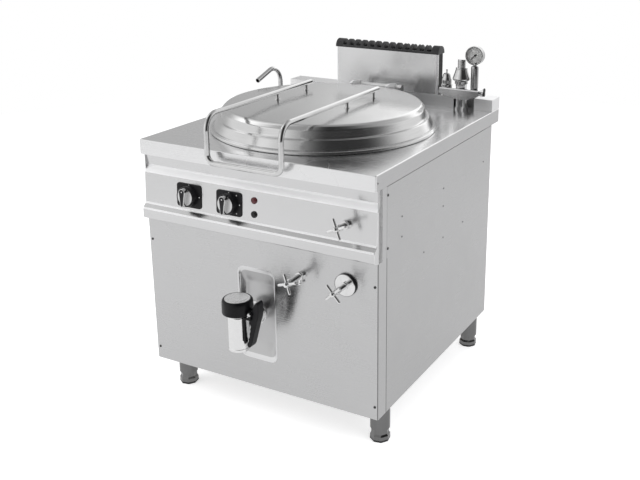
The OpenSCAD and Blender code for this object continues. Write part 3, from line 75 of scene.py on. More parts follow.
def maths(tree, kind, first, second=0.5, clamp=False):
    """A Math node on two sockets or numbers; returns its output."""
    node = tree.nodes.new("ShaderNodeMath")
    node.operation = kind
    node.use_clamp = clamp
    feed(tree, node.inputs[0], first)
    feed(tree, node.inputs[1], second)
    return node.outputs[0]


def vectors(tree, kind, first, second=None):
    """A Vector Math node on sockets or vectors; returns its output."""
    node = tree.nodes.new("ShaderNodeVectorMath")
    node.operation = kind
    feed(tree, node.inputs[0], first)
    if second is not None:
        feed(tree, node.inputs["Scale" if kind == "SCALE" else 1], second)
    return node.outputs["Value" if kind == "DOT_PRODUCT" else 0]


def remap(tree, value, low, high, to_low, to_high, ease="LINEAR"):
    """A Map Range node; returns its output."""
    node = tree.nodes.new("ShaderNodeMapRange")
    node.interpolation_type = ease
    wire(tree, value, node.inputs["Value"])
    for label, number in (("From Min", low), ("From Max", high), ("To Min", to_low), ("To Max", to_high)):
        node.inputs[label].default_value = number
    return node.outputs[0]


def blend_colours(tree, mask, dark, light):
    """A colour that goes from one to the other with a mask; returns its output."""
    node = tree.nodes.new("ShaderNodeMix")
    node.data_type = "RGBA"
    wire(tree, mask, node.inputs["Factor"])
    for label, colour in (("A", dark), ("B", light)):
        feed(tree, node.inputs[label], colour if hasattr(colour, "is_linked") else (*colour, 1))
    return node.outputs["Result"]


def soft_lamp(name, place, aim, size, watts):
    """A square lamp turned to what it lights; polished steel does not mirror it."""
    bpy.ops.object.light_add(type="AREA", location=place)
    lamp = bpy.context.active_object
    lamp.name = name
    lamp.rotation_euler = (Vector(aim) - Vector(place)).to_track_quat("-Z", "Y").to_euler()
    lamp.data.size = size
    lamp.data.energy = watts
    lamp.visible_glossy = False


soft_lamp("lamp_left", (-2.3, -2.2, 2.7), (0, 0, 0.6), 3.4, 66)
soft_lamp("lamp_right", (2.9, -0.6, 2.2), (0, 0, 0.5), 2.8, 34)
soft_lamp("lamp_rear", (0.2, 2.4, 2.9), (0, 0, 0.9), 2.8, 26)

world = bpy.data.worlds.new("studio")
bpy.context.scene.world = world
world.use_nodes = True
sky = world.node_tree
sky.nodes.clear()
sky_way = sky.nodes.new("ShaderNodeTexCoord")
sky_split = sky.nodes.new("ShaderNodeSeparateXYZ")
wire(sky, sky_way.outputs["Generated"], sky_split.inputs[0])
sky_ramp = sky.nodes.new("ShaderNodeValToRGB")
wire(sky, sky_split.outputs["Z"], sky_ramp.inputs[0])
for place, grey in ((0.0, 0.88), (0.28, 0.90), (0.55, 0.76), (0.80, 0.46)):
    stop = sky_ramp.color_ramp.elements.new(place) if place else sky_ramp.color_ramp.elements[0]
    stop.position = place
    stop.color = (grey, grey, grey, 1)
sky_ramp.color_ramp.elements[-1].color = (0.36, 0.36, 0.36, 1)


def sky_zone(way, near, far, inside, flatten=False):
    """How much the surround is dimmed or lifted near one direction."""
    source = sky_way.outputs["Generated"]
    if flatten:
        source = vectors(sky, "NORMALIZE", vectors(sky, "MULTIPLY", source, (1, 1, 0)))
    closeness = vectors(sky, "DOT_PRODUCT", source, Vector(way).normalized())
    return remap(sky, closeness, far, near, 1.0, inside, "SMOOTHSTEP")


# A wide dark part where the photographer stands, a grey wall behind on the left with a lighter
# one beside it, a bright soft box high on the left and a pale wall at the front left
sky_zones = [sky_zone((0.82, -0.57, 0), 0.95, 0.30, 0.04, True), sky_zone((-0.82, 0.57, 0), 0.97, 0.80, 0.56, True),
             sky_zone((-0.05, 0.955, 0.29), 0.975, 0.86, 1.75), sky_zone((-0.62, 0.12, 0.775), 0.978, 0.866, 2.6),
             sky_zone((-0.60, -0.72, 0.34), 0.99, 0.955, 1.25)]
sky_patch = sky_zones[0]
for other in sky_zones[1:]:
    sky_patch = maths(sky, "MULTIPLY", sky_patch, other)
sky_mirror = vectors(sky, "SCALE", sky_ramp.outputs[0], sky_patch)
sky_ray = sky.nodes.new("ShaderNodeLightPath")
sky_soft = blend_colours(sky, sky_ray.outputs["Is Glossy Ray"], (0.52, 0.52, 0.53), sky_mirror)
sky_seen = blend_colours(sky, sky_ray.outputs["Is Camera Ray"], sky_soft, (1, 1, 1))
sky_light = sky.nodes.new("ShaderNodeBackground")
wire(sky, sky_seen, sky_light.inputs["Color"])
sky_out = sky.nodes.new("ShaderNodeOutputWorld")
wire(sky, sky_light.outputs[0], sky_out.inputs["Surface"])

bpy.ops.mesh.primitive_circle_add(vertices=96, radius=4.5, fill_type="NGON")
floor = bpy.context.active_object
floor.name = "studio_floor"
floor_paint = bpy.data.materials.new("pale_floor")
floor_paint.use_nodes = True
ground = floor_paint.node_tree
ground.nodes.clear()
ground_out = ground.nodes.new("ShaderNodeOutputMaterial")
ground_ray = ground.nodes.new("ShaderNodeLightPath")


def lit_floor(matt, glow):
    """The floor as one kind of ray meets it: so much paint and so much glow."""
    paint = ground.nodes.new("ShaderNodeBsdfDiffuse")
    paint.inputs["Color"].default_value = (matt, matt, matt, 1)
    shine = ground.nodes.new("ShaderNodeEmission")
    shine.inputs["Strength"].default_value = glow
    both = ground.nodes.new("ShaderNodeAddShader")
    wire(ground, paint.outputs[0], both.inputs[0])
    wire(ground, shine.outputs[0], both.inputs[1])
    return both.outputs[0]


ground_seen = lit_floor(0.86, 0.0)
for kind, matt, glow in (("Is Glossy Ray", 0.40, 0.52), ("Is Camera Ray", 0.86, 0.62)):
    swap = ground.nodes.new("ShaderNodeMixShader")
    wire(ground, ground_ray.outputs[kind], swap.inputs[0])
    wire(ground, ground_seen, swap.inputs[1])
    wire(ground, lit_floor(matt, glow), swap.inputs[2])
    ground_seen = swap.outputs[0]
wire(ground, ground_seen, ground_out.inputs["Surface"])
floor.data.materials.append(floor_paint)


# Frame: folded sections of stainless steel, welded into one. Its front columns show on the
# cabinet's sides; the rest is seen from below and behind.
def at(x, setback, z):
    """A place in metres: across, behind the worktop's front face and up, given in millimetres."""
    return Vector((x, setback - 450, z)) / 1000


def new_group(name, inputs, outputs):
    """A shader node group with float, vector or colour sockets, and its two ends."""
    group = bpy.data.node_groups.new(name, "ShaderNodeTree")
    for way, sockets in (("INPUT", inputs), ("OUTPUT", outputs)):
        for label, kind, value in sockets:
            socket = group.interface.new_socket(label, in_out=way, socket_type="NodeSocket" + kind)
            if way == "INPUT" and value is not None:
                socket.default_value = value
    return group, group.nodes.new("NodeGroupInput"), group.nodes.new("NodeGroupOutput")


def noise(tree, vector, scale, detail=3.0, rough=0.55):
    """A Noise Texture on a vector; returns its output."""
    node = tree.nodes.new("ShaderNodeTexNoise")
    node.inputs["Scale"].default_value = scale
    node.inputs["Detail"].default_value = detail
    node.inputs["Roughness"].default_value = rough
    wire(tree, vector, node.inputs["Vector"])
    return node.outputs["Fac"]


# Brushed grain: long fine streaks and short ones, with slow cloudy change along the sheet
grain_group, grain_in, grain_out = new_group(
    "brushed grain", [("Along", "Vector", None), ("Place", "Vector", None)],
    [("Streaks", "Float", None), ("Clouds", "Float", None)])
grain_way = grain_in.outputs["Along"]
long_streaks = noise(grain_group, grain_way, 1.0, 4.0, 0.65)
fine_streaks = noise(grain_group, vectors(grain_group, "MULTIPLY", grain_way, (3.1, 3.1, 3.1)), 1.0, 2.0, 0.5)
both_streaks = maths(grain_group, "MULTIPLY", maths(grain_group, "ADD", long_streaks, fine_streaks), 0.5)
wire(grain_group, both_streaks, grain_out.inputs["Streaks"])
wire(grain_group, noise(grain_group, grain_in.outputs["Place"], 3.2, 2.0, 0.5), grain_out.inputs["Clouds"])

# Handling marks: faint smudges and a few thin scratches that cross the grain
marks_group, marks_in, marks_out = new_group(
    "handling marks", [("Place", "Vector", None)], [("Smudges", "Float", None), ("Scratches", "Float", None)])
marks_place = marks_in.outputs["Place"]
smudge = noise(marks_group, marks_place, 9.0, 5.0, 0.62)
wire(marks_group, remap(marks_group, smudge, 0.48, 0.72, 0.0, 1.0), marks_out.inputs["Smudges"])
crack = marks_group.nodes.new("ShaderNodeTexVoronoi")
crack.feature = "DISTANCE_TO_EDGE"
crack.inputs["Scale"].default_value = 7.0
wire(marks_group, vectors(marks_group, "MULTIPLY", marks_place, (1.0, 0.35, 2.6)), crack.inputs["Vector"])
thin = remap(marks_group, crack.outputs["Distance"], 0.0, 0.006, 1.0, 0.0)
patchy = remap(marks_group, noise(marks_group, marks_place, 5.0, 1.0), 0.55, 0.66, 0.0, 1.0)
wire(marks_group, maths(marks_group, "MULTIPLY", thin, patchy), marks_out.inputs["Scratches"])

# Worn edges: a mask that is 1 where a corner of the piece is sharp
wear_group, wear_in, wear_out = new_group(
    "worn edges", [("Width", "Float", 0.001), ("Place", "Vector", None)], [("Edge", "Float", None)])
wear_bevel = wear_group.nodes.new("ShaderNodeBevel")
wear_bevel.samples = 4
wire(wear_group, wear_in.outputs["Width"], wear_bevel.inputs["Radius"])
wear_flat = wear_group.nodes.new("ShaderNodeNewGeometry")
wear_turn = vectors(wear_group, "DOT_PRODUCT", wear_bevel.outputs[0], wear_flat.outputs["Normal"])
wear_mask = remap(wear_group, wear_turn, 0.995, 0.86, 0.0, 1.0)
wear_patch = remap(wear_group, noise(wear_group, wear_in.outputs["Place"], 60.0, 3.0), 0.35, 0.6, 0.25, 1.0)
wire(wear_group, maths(wear_group, "MULTIPLY", wear_mask, wear_patch, True), wear_out.inputs["Edge"])


def bare_material(name, rough, metal, colour):
    """A material with only its shader, and the coordinates that patterns read."""
    made = bpy.data.materials.new(name)
    made.use_nodes = True
    tree = made.node_tree
    shader = tree.nodes["Principled BSDF"]
    shader.inputs["Base Color"].default_value = (*colour, 1)
    shader.inputs["Roughness"].default_value = rough
    shader.inputs["Metallic"].default_value = metal
    place = tree.nodes.new("ShaderNodeTexCoord").outputs["Object"]
    return made, tree, shader, place


def stretched(tree, place, scale, centre=(0, 0, 0)):
    """Coordinates that are moved to a centre and stretched; returns them."""
    node = tree.nodes.new("ShaderNodeMapping")
    node.vector_type = "POINT"
    node.inputs["Scale"].default_value = scale
    node.inputs["Location"].default_value = [-c * s for c, s in zip(centre, scale)]
    wire(tree, place, node.inputs["Vector"])
    return node.outputs[0]


def use_group(tree, group, **inputs):
    """Places a node group and feeds its sockets."""
    node = tree.nodes.new("ShaderNodeGroup")
    node.node_tree = group
    for label, value in inputs.items():
        feed(tree, node.inputs[label], value)
    return node.outputs


def bumped(tree, shader, height, strength, distance):
    """Feeds a height to the shader's normal through a Bump node."""
    node = tree.nodes.new("ShaderNodeBump")
    node.inputs["Strength"].default_value = strength
    node.inputs["Distance"].default_value = distance
    wire(tree, height, node.inputs["Height"])
    wire(tree, node.outputs[0], shader.inputs["Normal"])


def brushed_steel(name, grey, rough, along, anisotropy=0.0, wear=0.0012, edge_light=1.06):
    """Brushed stainless sheet. along stretches the grain: a small number runs with it."""
    made, tree, shader, place = bare_material(name, rough, 1.0, (grey, grey, grey))
    grain = use_group(tree, grain_group, Along=stretched(tree, place, along), Place=place)
    marks = use_group(tree, marks_group, Place=place)
    edge = use_group(tree, wear_group, Width=wear, Place=place)["Edge"]
    tone = maths(tree, "ADD", maths(tree, "MULTIPLY", grain["Streaks"], 0.8),
                 maths(tree, "MULTIPLY", grain["Clouds"], 0.2))
    tone = remap(tree, tone, 0.36, 0.64, 0.0, 1.0)
    low, high = grey * 0.975, min(grey * 1.025, 1.0)
    sheet = blend_colours(tree, tone, (low, low, low * 1.004), (high, high, high * 1.006))
    # Sharp corners and folds get a paler grey, set by edge_light: partly wear, partly a painted highlight
    bright = min(high * edge_light, 0.97)
    wire(tree, blend_colours(tree, edge, sheet, (bright, bright, bright)), shader.inputs["Base Color"])
    gloss = remap(tree, grain["Streaks"], 0.35, 0.65, rough * 0.84, rough * 1.16)
    gloss = maths(tree, "ADD", gloss, maths(tree, "MULTIPLY", marks["Smudges"], 0.05))
    wire(tree, maths(tree, "ADD", gloss, maths(tree, "MULTIPLY", marks["Scratches"], 0.12), True),
         shader.inputs["Roughness"])
    height = maths(tree, "SUBTRACT", grain["Streaks"], maths(tree, "MULTIPLY", marks["Scratches"], 0.4))
    bumped(tree, shader, height, 0.06, 0.0005)
    if anisotropy:
        shader.inputs["Anisotropic"].default_value = anisotropy
        shader.inputs["Anisotropic Rotation"].default_value = 0.25
        turn = tree.nodes.new("ShaderNodeTangent")
        turn.direction_type = "RADIAL"
        turn.axis = "Z"
        wire(tree, turn.outputs[0], shader.inputs["Tangent"])
    return made


def take_up(*things):
    """Leaves only these objects selected, with the first one active."""
    bpy.ops.object.select_all(action="DESELECT")
    for thing in things:
        thing.select_set(True)
    bpy.context.view_layer.objects.active = things[0]


def apply_modifier(piece, kind, **settings):
    """Adds a modifier to a piece, sets it up and applies it."""
    take_up(piece)
    modifier = piece.modifiers.new(kind.title(), kind)
    for label, value in settings.items():
        setattr(modifier, label, value)
    bpy.ops.object.modifier_apply(modifier=modifier.name)


def edit(piece):
    """Takes up a piece in edit mode, with all of it selected."""
    take_up(piece)
    bpy.ops.object.mode_set(mode="EDIT")
    bpy.ops.mesh.select_all(action="SELECT")


def broken(piece, edge, segments, angle=30, **settings):
    """Breaks a piece's edges by this many millimetres where they are sharper than an angle."""
    apply_modifier(piece, "BEVEL", width=edge / 1000, segments=segments, limit_method="ANGLE",
                   angle_limit=radians(angle), **settings)


def settle(*pieces):
    """Fixes the place, turn and scale of these pieces in their meshes."""
    take_up(*pieces)
    bpy.ops.object.transform_apply(location=True, rotation=True, scale=True)


def set_out(piece, name, material, body, slot, *nodes, smooth=35):
    """Names a finished piece, fixes its place in its mesh, and puts it on its body for its nodes."""
    piece.name = piece.data.name = name
    settle(piece)
    bpy.ops.object.shade_smooth_by_angle(angle=radians(smooth))
    apply_modifier(piece, "WEIGHTED_NORMAL", keep_sharp=True)
    piece.data.materials.clear()
    piece.data.materials.append(material)
    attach(piece, body)
    if nodes:
        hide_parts(*nodes)


def folded_copy(node, edge, segments=2):
    """A copy of a CAD solid with its triangles merged and its edges broken by this many millimetres."""
    piece = bpy.data.objects.new(node + "_copy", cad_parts[node].data.copy())
    bpy.context.scene.collection.objects.link(piece)
    take_up(piece)
    bpy.ops.mesh.customdata_custom_splitnormals_clear()
    edit(piece)
    bpy.ops.mesh.remove_doubles(threshold=1e-5)
    bpy.ops.mesh.dissolve_limited(angle_limit=radians(0.6))
    bpy.ops.object.mode_set(mode="OBJECT")
    if edge:
        broken(piece, edge, segments, use_clamp_overlap=True)
    return piece


def dress(node, edge, name, material, body, slot, segments=2, smooth=35):
    """Sets out a folded copy of one CAD solid in place of that solid."""
    set_out(folded_copy(node, edge, segments), name, material, body, slot, node, smooth=smooth)


along_x, along_y, along_z = (3, 700, 900), (900, 3, 700), (700, 900, 3)
frame_steel = brushed_steel("frame_steel", 0.55, 0.30, along_z)
dress("base_frame", 0.6, "welded_frame", frame_steel, "cabinet", "frame_steel")

# Side, rear and front panels: brushed stainless sheet, 1.5 mm, folded inwards at the edges and
# screwed to the frame. The rear one has two columns of air slots; the side ones stop short of
# the worktop's fold.
sheet_edge, top_gap, top_band = 0.5, 2.2, 3
side_steel = brushed_steel("side_steel", 0.53, 0.30, along_y, anisotropy=0.4)
sheets = {"front": folded_copy("front_panel", sheet_edge)}
for hand in ("left", "right"):
    sheet = sheets[hand] = folded_copy(hand + "_side_panel", sheet_edge)
    sheet_top = max(vertex.co.z for vertex in sheet.data.vertices)
    for vertex in sheet.data.vertices:
        if vertex.co.z > sheet_top - top_band / 1000:
            vertex.co.z -= top_gap / 1000
rear_steel = brushed_steel("rear_steel", 0.48, 0.34, along_x, anisotropy=0.3)
dress("rear_panel", sheet_edge, "rear_sheet", rear_steel, "cabinet", "rear_steel")
front_steel = brushed_steel("front_steel", 0.60, 0.24, along_x, anisotropy=0.75)

# Recess behind the drain tap: a pocket pressed in the front sheet with soft corners, a floor
# that slopes out, so that drips run off it, and a roof that slopes down to its back. Its lip
# gets a paler steel: a painted highlight.
recess_x, recess_mid_z, recess_w, recess_h, recess_r = -4, 359.5, 132, 295, 24
recess_floor_rise, recess_roof_drop, recess_depth, front_y = 50, 46, 22, 16
recess_side_slope, lip_depth = 1.6, 4.2
# How far in from the opening's outline the wall stands at each depth, in millimetres
recess_wall = ((0, 0), (1.2, 0.2), (2.6, 0.9), (3.8, 2.2), (4.6, 4.5), (6.8, 17), (7.8, 19.6),
               (9.5, 21.2), (12.5, 21.9))


def arc(x, y, r, start, end, steps):
    """Points on an arc round a centre, from one angle to another in degrees."""
    turns = [radians(start + (end - start) * i / steps) for i in range(steps + 1)]
    return [(x + r * cos(turn), y + r * sin(turn)) for turn in turns]


def round_rect(w, h, r, steps=6):
    """The outline of a rectangle with round corners, round its middle."""
    points = []
    for across, up, start in ((1, 1, 0), (-1, 1, 90), (-1, -1, 180), (1, -1, 270)):
        points += arc(across * (w / 2 - r), up * (h / 2 - r), r, start, start + 90, steps)
    return points


def lofted(loops):
    """A skin through loops with the same number of points, made from one ring and closed at its end."""
    bpy.ops.mesh.primitive_circle_add(vertices=len(loops[0]), radius=0.01)
    piece = bpy.context.active_object
    edit(piece)
    for _ in loops[1:]:
        bpy.ops.mesh.extrude_edges_move(TRANSFORM_OT_translate={"value": (0, 0, 0.01)})
    bpy.ops.mesh.edge_face_add()
    bpy.ops.object.mode_set(mode="OBJECT")
    for vertex, place in zip(piece.data.vertices, [p for loop in loops for p in loop]):
        vertex.co = place
    return piece


def pick(piece, kind, test):
    """Selects in edit mode the faces or edges whose middle, in millimetres, passes a test."""
    take_up(piece)
    bpy.ops.object.mode_set(mode="EDIT")
    bpy.ops.mesh.select_mode(type=kind)
    bpy.ops.mesh.select_all(action="DESELECT")
    bpy.ops.object.mode_set(mode="OBJECT")
    mesh, world = piece.data, piece.matrix_world
    home = Vector((0, 450, 0))
    if kind == "FACE":
        for face in mesh.polygons:
            face.select = bool(test(world @ face.center * 1000 + home, face.normal))
    else:
        for edge in mesh.edges:
            a, b = (world @ mesh.vertices[i].co * 1000 + home for i in edge.vertices)
            edge.select = bool(test((a + b) / 2, (b - a).normalized()))
    bpy.ops.object.mode_set(mode="EDIT")


def split_off(piece, test):
    """Parts the faces that pass a test from a piece, and returns them as a new one."""
    pick(piece, "FACE", test)
    bpy.ops.mesh.separate(type="SELECTED")
    bpy.ops.object.mode_set(mode="OBJECT")
    return [thing for thing in bpy.context.selected_objects if thing is not piece][0]


recess_loops = []
for inward, deep in recess_wall:
    low = recess_mid_z - recess_h / 2 + inward + recess_floor_rise * deep / recess_depth
    high = recess_mid_z + recess_h / 2 - inward - recess_roof_drop * deep / recess_depth
    outline = round_rect(recess_w - 2 * inward * recess_side_slope, high - low, recess_r - inward, 8)
    recess_loops.append([at(recess_x + u, front_y + deep, (low + high) / 2 + v) for u, v in outline])
recess_steel = brushed_steel("recess_steel", 0.55, 0.34, along_x)
# A paler steel for the lip: a painted highlight
lip_highlight_steel = brushed_steel("lip_highlight_steel", 0.80, 0.34, along_x)
pocket = lofted(recess_loops)
lip = split_off(pocket, lambda p, n: p.y < front_y + lip_depth)
set_out(lip, "recess_lip", lip_highlight_steel, "cabinet", "front_steel")
set_out(pocket, "pressed_recess", recess_steel, "cabinet", "front_steel", "tap_recess", smooth=60)

# Joints of the sheets: below the control panel a strip 2 mm wide along each sheet's edge at the
# front column is given a dark steel: painted shade of the joint.
joint_w, joint_top = 2.0, 598
# A dark steel for the strips along the joints: painted shade
joint_shade_steel = brushed_steel("joint_shade_steel", 0.16, 0.45, along_z)


def folded_edge(piece, name, slot, place, across, inside):
    """Cuts the sheet along its joint and gives the strip beyond the cut a dark steel: painted shade."""
    edit(piece)
    for middle, normal in ((place, across), ((0, 0, joint_top), (0, 0, 1))):
        bpy.ops.mesh.select_all(action="SELECT")
        bpy.ops.mesh.bisect(plane_co=at(*middle), plane_no=normal)
    bpy.ops.object.mode_set(mode="OBJECT")
    set_out(split_off(piece, lambda p, n: inside(p) and p.z < joint_top), name, joint_shade_steel, "cabinet", slot)


for hand in ("left", "right"):
    edge_y = min(vertex.co.y for vertex in sheets[hand].data.vertices) * 1000 + 450 + joint_w
    folded_edge(sheets[hand], hand + "_sheet_joint", "side_steel", (0, edge_y, 0), (0, 1, 0), lambda p: p.y < edge_y)
    set_out(sheets[hand], hand + "_side_sheet", side_steel, "cabinet", "side_steel", hand + "_side_panel")
edge_x = max(vertex.co.x for vertex in sheets["front"].data.vertices) * 1000 - joint_w
folded_edge(sheets["front"], "front_sheet_joint", "front_steel", (edge_x, 0, 0), (1, 0, 0), lambda p: p.x > edge_x)
set_out(sheets["front"], "front_sheet", front_steel, "cabinet", "front_steel", "front_panel")

# Control panel: one sheet folded to a groove under the worktop, a leaning face for the controls
# and a nose that stands proud below it; its ends are folded back to the frame. Bands along the
# folds and the groove's lower slope get a paler steel, and its edges a paler grey: painted highlights.
panel_half, panel_back, panel_low, panel_top = 399, 40, 597, 805
groove_top, groove_foot, face_foot, nose_top = (25, 765), (14, 748), (8, 650), (-6, 636)
panel_folds = [(20, panel_top), groove_top, groove_foot, face_foot, nose_top, (-6, 605), (16, panel_low)]
fold_r, end_r, fold_highlight_reach = 3.2, 1.2, 3.2


def done_editing(piece, turn_out=True):
    """Leaves edit mode, as a rule with every face turned outwards first."""
    if turn_out:
        bpy.ops.mesh.select_mode(type="VERT")
        bpy.ops.mesh.select_all(action="SELECT")
        bpy.ops.mesh.normals_make_consistent(inside=False)
    bpy.ops.object.mode_set(mode="OBJECT")
    return piece


def prism(points, low, high, turn=lambda u, v, w: (w, u, v)):
    """An outline carried from one plane to another, in millimetres; turn sets which way it lies."""
    bpy.ops.mesh.primitive_circle_add(vertices=len(points), radius=0.01, fill_type="NGON")
    piece = bpy.context.active_object
    for vertex, (u, v) in zip(piece.data.vertices, points):
        vertex.co = at(*turn(u, v, low))
    edit(piece)
    reach = at(*turn(0, 0, high)) - at(*turn(0, 0, low))
    bpy.ops.mesh.extrude_region_move(TRANSFORM_OT_translate={"value": reach})
    return done_editing(piece)


def round_off(piece, r, segments, test):
    """Rounds the edges that pass a test with this radius in millimetres."""
    pick(piece, "EDGE", test)
    bpy.ops.mesh.bevel(offset=r / 1000, segments=segments, affect="EDGES")
    done_editing(piece)


def opened(piece, test):
    """Takes away the faces that pass a test and gives what is left the thickness of the sheet."""
    pick(piece, "FACE", test)
    bpy.ops.mesh.delete(type="FACE")
    done_editing(piece, turn_out=False)
    apply_modifier(piece, "SOLIDIFY", thickness=0.0015, offset=-1)


control = prism(panel_folds + [(panel_back, panel_low), (panel_back, panel_top)], -panel_half, panel_half)
round_off(control, fold_r, 4, lambda p, d: abs(d.x) > 0.9 and p.y < panel_back - 2
          and panel_low + 3 < p.z < panel_top - 5)
round_off(control, end_r, 2, lambda p, d: abs(p.x) > panel_half - 1 and abs(d.x) < 0.1 and p.y < panel_back - 1
          and panel_low + 0.5 < p.z < panel_top - 0.5)
opened(control, lambda p, n: n.y > 0.9 or n.z > 0.9 and p.z > panel_top - 1 or n.z < -0.99 and p.z < panel_low + 1)
# Its edges are made much paler than other steel's: a painted highlight along the folds
control_steel = brushed_steel("control_steel", 0.69, 0.20, along_x, anisotropy=0.5, wear=0.003, edge_light=1.4)
# A paler steel, only partly metal so that the lamps light it: a painted highlight, for the control panel's folds and
# the flue's front corners
painted_highlight_steel = brushed_steel("painted_highlight_steel", 0.95, 0.45, along_x)
painted_highlight_steel.node_tree.nodes["Principled BSDF"].inputs["Metallic"].default_value = 0.6
# Bands near each fold and the groove's lower slope are split off for the painted highlight
fold_lines = (groove_top, groove_foot, face_foot, nose_top)
painted_fold_bands = split_off(control, lambda p, n: abs(n.x) < 0.1 and n.y < 0 and p.y < 31 and (
    groove_foot[1] < p.z < groove_top[1] or any(hypot(p.y - y, p.z - z) < fold_highlight_reach for y, z in fold_lines)))
set_out(painted_fold_bands, "control_panel_fold_highlights", painted_highlight_steel, "cabinet", "control_steel")
set_out(control, "folded_control_panel", control_steel, "cabinet", "control_steel", "control_panel")

# Worktop: pressed from 1.5 mm stainless sheet with its edges folded down 45 mm and its corners
# welded and ground. It has openings for the vessel, the flue's duct and the water spout.
top_steel = brushed_steel("top_steel", 0.83, 0.24, along_x)
top_half, top_z, vessel_y, vessel_hole_r = 400, 850, 405, 312
spout_x, spout_y, spout_hole_r = -361, 705, 8.3
duct_half, duct_front, duct_back = 190.8, 831.5, 876.5
corner_r, fold_top_r, cut_deep = 4, 2.6, 30


def cut_away(piece, *cutters):
    """Cuts these shapes out of a piece and removes them."""
    for cutter in cutters:
        apply_modifier(piece, "BOOLEAN", object=cutter, operation="DIFFERENCE", solver="EXACT")
        bpy.data.objects.remove(cutter)


def drill(place, r, h, axis=(0, 0, 1), vertices=64):
    """A cylinder to cut with, centred on a place."""
    bpy.ops.mesh.primitive_cylinder_add(vertices=vertices, radius=r / 1000, depth=h / 1000, location=place,
                                        rotation=Vector(axis).to_track_quat("Z", "Y").to_euler())
    return bpy.context.active_object


def block(low, high):
    """A box to cut with or to shape, between two corners in metres."""
    bpy.ops.mesh.primitive_cube_add(size=1, location=(low + high) / 2, scale=high - low)
    piece = bpy.context.active_object
    settle(piece)
    return piece


worktop = block(*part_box("worktop"))
round_off(worktop, corner_r, 4, lambda p, d: abs(d.z) > 0.9)
round_off(worktop, fold_top_r, 4, lambda p, d: p.z > top_z - 0.1)
opened(worktop, lambda p, n: n.z < -0.9)
duct_hole = block(at(-duct_half, duct_front, top_z - 60), at(duct_half, duct_back, top_z + 20))
cut_away(worktop, drill(at(0, vessel_y, top_z), vessel_hole_r, cut_deep, vertices=160), duct_hole,
         drill(at(spout_x, spout_y, top_z), spout_hole_r, cut_deep, vertices=32))
# The worktop's end folds are split off and given the darker side steel: painted shade
shaded_side_folds = split_off(worktop, lambda p, n: abs(n.x) > 0.99 and abs(p.x) > top_half - 0.5)
set_out(shaded_side_folds, "worktop_side_fold_shade", side_steel, "cabinet", "top_steel")
set_out(worktop, "worktop_sheet", top_steel, "cabinet", "top_steel", "worktop")

# Upstand: a folded box of stainless sheet, welded along the worktop's rear edge. It has a notch,
# lined with thin sheet, where the safety group's pipes come up.
upstand_steel = brushed_steel("upstand_steel", 0.88, 0.40, along_x)
notch_left, notch_right, notch_back, notch_front = 260.2, 335.8, 860.8, 830.2
notch_low, notch_high, lining_t = 850.3, 889.2, 0.8
upstand = folded_copy("rear_upstand", 0.7)
lining = prism([(notch_left, notch_front), (notch_left + lining_t, notch_front),
                (notch_left + lining_t, notch_back - lining_t), (notch_right - lining_t, notch_back - lining_t),
                (notch_right - lining_t, notch_front), (notch_right, notch_front), (notch_right, notch_back),
                (notch_left, notch_back)], notch_low, notch_high, turn=lambda u, v, w: (u, v, w))
set_out(upstand, "upstand_box", upstand_steel, "cabinet", "top_steel", "rear_upstand")
satin_steel = brushed_steel("satin_steel", 0.90, 0.60, along_x)
set_out(lining, "upstand_notch_lining", satin_steel, "cabinet", "top_steel")

# Flue: a sheet housing that leads the burnt gas up behind the lid, under a finned cast cap. Its
# rounded front corners get a paler steel, a painted highlight, and its end faces a near-black
# finish, painted shade.
flue_steel = brushed_steel("flue_steel", 0.74, 0.22, along_x, anisotropy=0.4)
flue_half, flue_front, flue_back, flue_low, flue_high, flue_r = 199, 830, 878, 890, 1027, 8
flue = block(at(-flue_half, flue_front, flue_low), at(flue_half, flue_back, flue_high))
round_off(flue, flue_r, 6, lambda p, d: abs(d.z) > 0.9)
opened(flue, lambda p, n: abs(n.z) > 0.9)
flue_ends = split_off(flue, lambda p, n: abs(n.x) > 0.99 and abs(p.x) > flue_half - 0.1)
# The rounded front corners are split off for the paler steel: a painted highlight
painted_flue_corners = split_off(flue, lambda p, n: 0.15 < abs(n.x) < 0.99 and n.y < -0.1
                       and p.y < flue_front + flue_r + 1 and abs(p.x) > flue_half - flue_r - 1)
set_out(painted_flue_corners, "flue_corner_highlights", painted_highlight_steel, "cabinet", "flue_steel")
set_out(flue, "flue_sleeve", flue_steel, "cabinet", "flue_steel", "flue_housing")


def dark_finish(name, colour, rough, grain_scale, bump, wear_colour, wear=0.0012, shine=0.5):
    """A dark plastic, enamel or rubber with a fine texture and paler worn edges."""
    made, tree, shader, place = bare_material(name, rough, 0.0, colour)
    texture = noise(tree, place, grain_scale, 4.0, 0.6)
    clouds = noise(tree, place, 14.0, 3.0)
    edge = use_group(tree, wear_group, Width=wear, Place=place)["Edge"]
    marks = use_group(tree, marks_group, Place=place)
    pale = tuple(min(c * 1.5 + 0.006, 1) for c in colour)
    skin = blend_colours(tree, remap(tree, clouds, 0.35, 0.65, 0.0, 1.0), colour, pale)
    wire(tree, blend_colours(tree, maths(tree, "MULTIPLY", edge, 0.6), skin, wear_colour),
         shader.inputs["Base Color"])
    gloss = remap(tree, texture, 0.3, 0.7, rough * 0.85, rough * 1.15)
    wire(tree, maths(tree, "ADD", gloss, maths(tree, "MULTIPLY", marks["Smudges"], 0.08), True),
         shader.inputs["Roughness"])
    bumped(tree, shader, texture, bump, 0.0005)
    shader.inputs["Specular IOR Level"].default_value = shine
    return made


flue_black = dark_finish("flue_black", (0.012, 0.012, 0.013), 0.40, 420, 0.5, (0.16, 0.16, 0.16), wear=0.002)
dress("flue_cap", 0.9, "flue_casting", flue_black, "cabinet", "flue_black")
# The end faces get a near-black finish: painted shade
flue_dark = dark_finish("flue_dark", (0.006, 0.006, 0.007), 0.5, 420, 0.3, (0.04, 0.04, 0.04), shine=0.2)
set_out(flue_ends, "flue_end_faces", flue_dark, "cabinet", "flue_black")

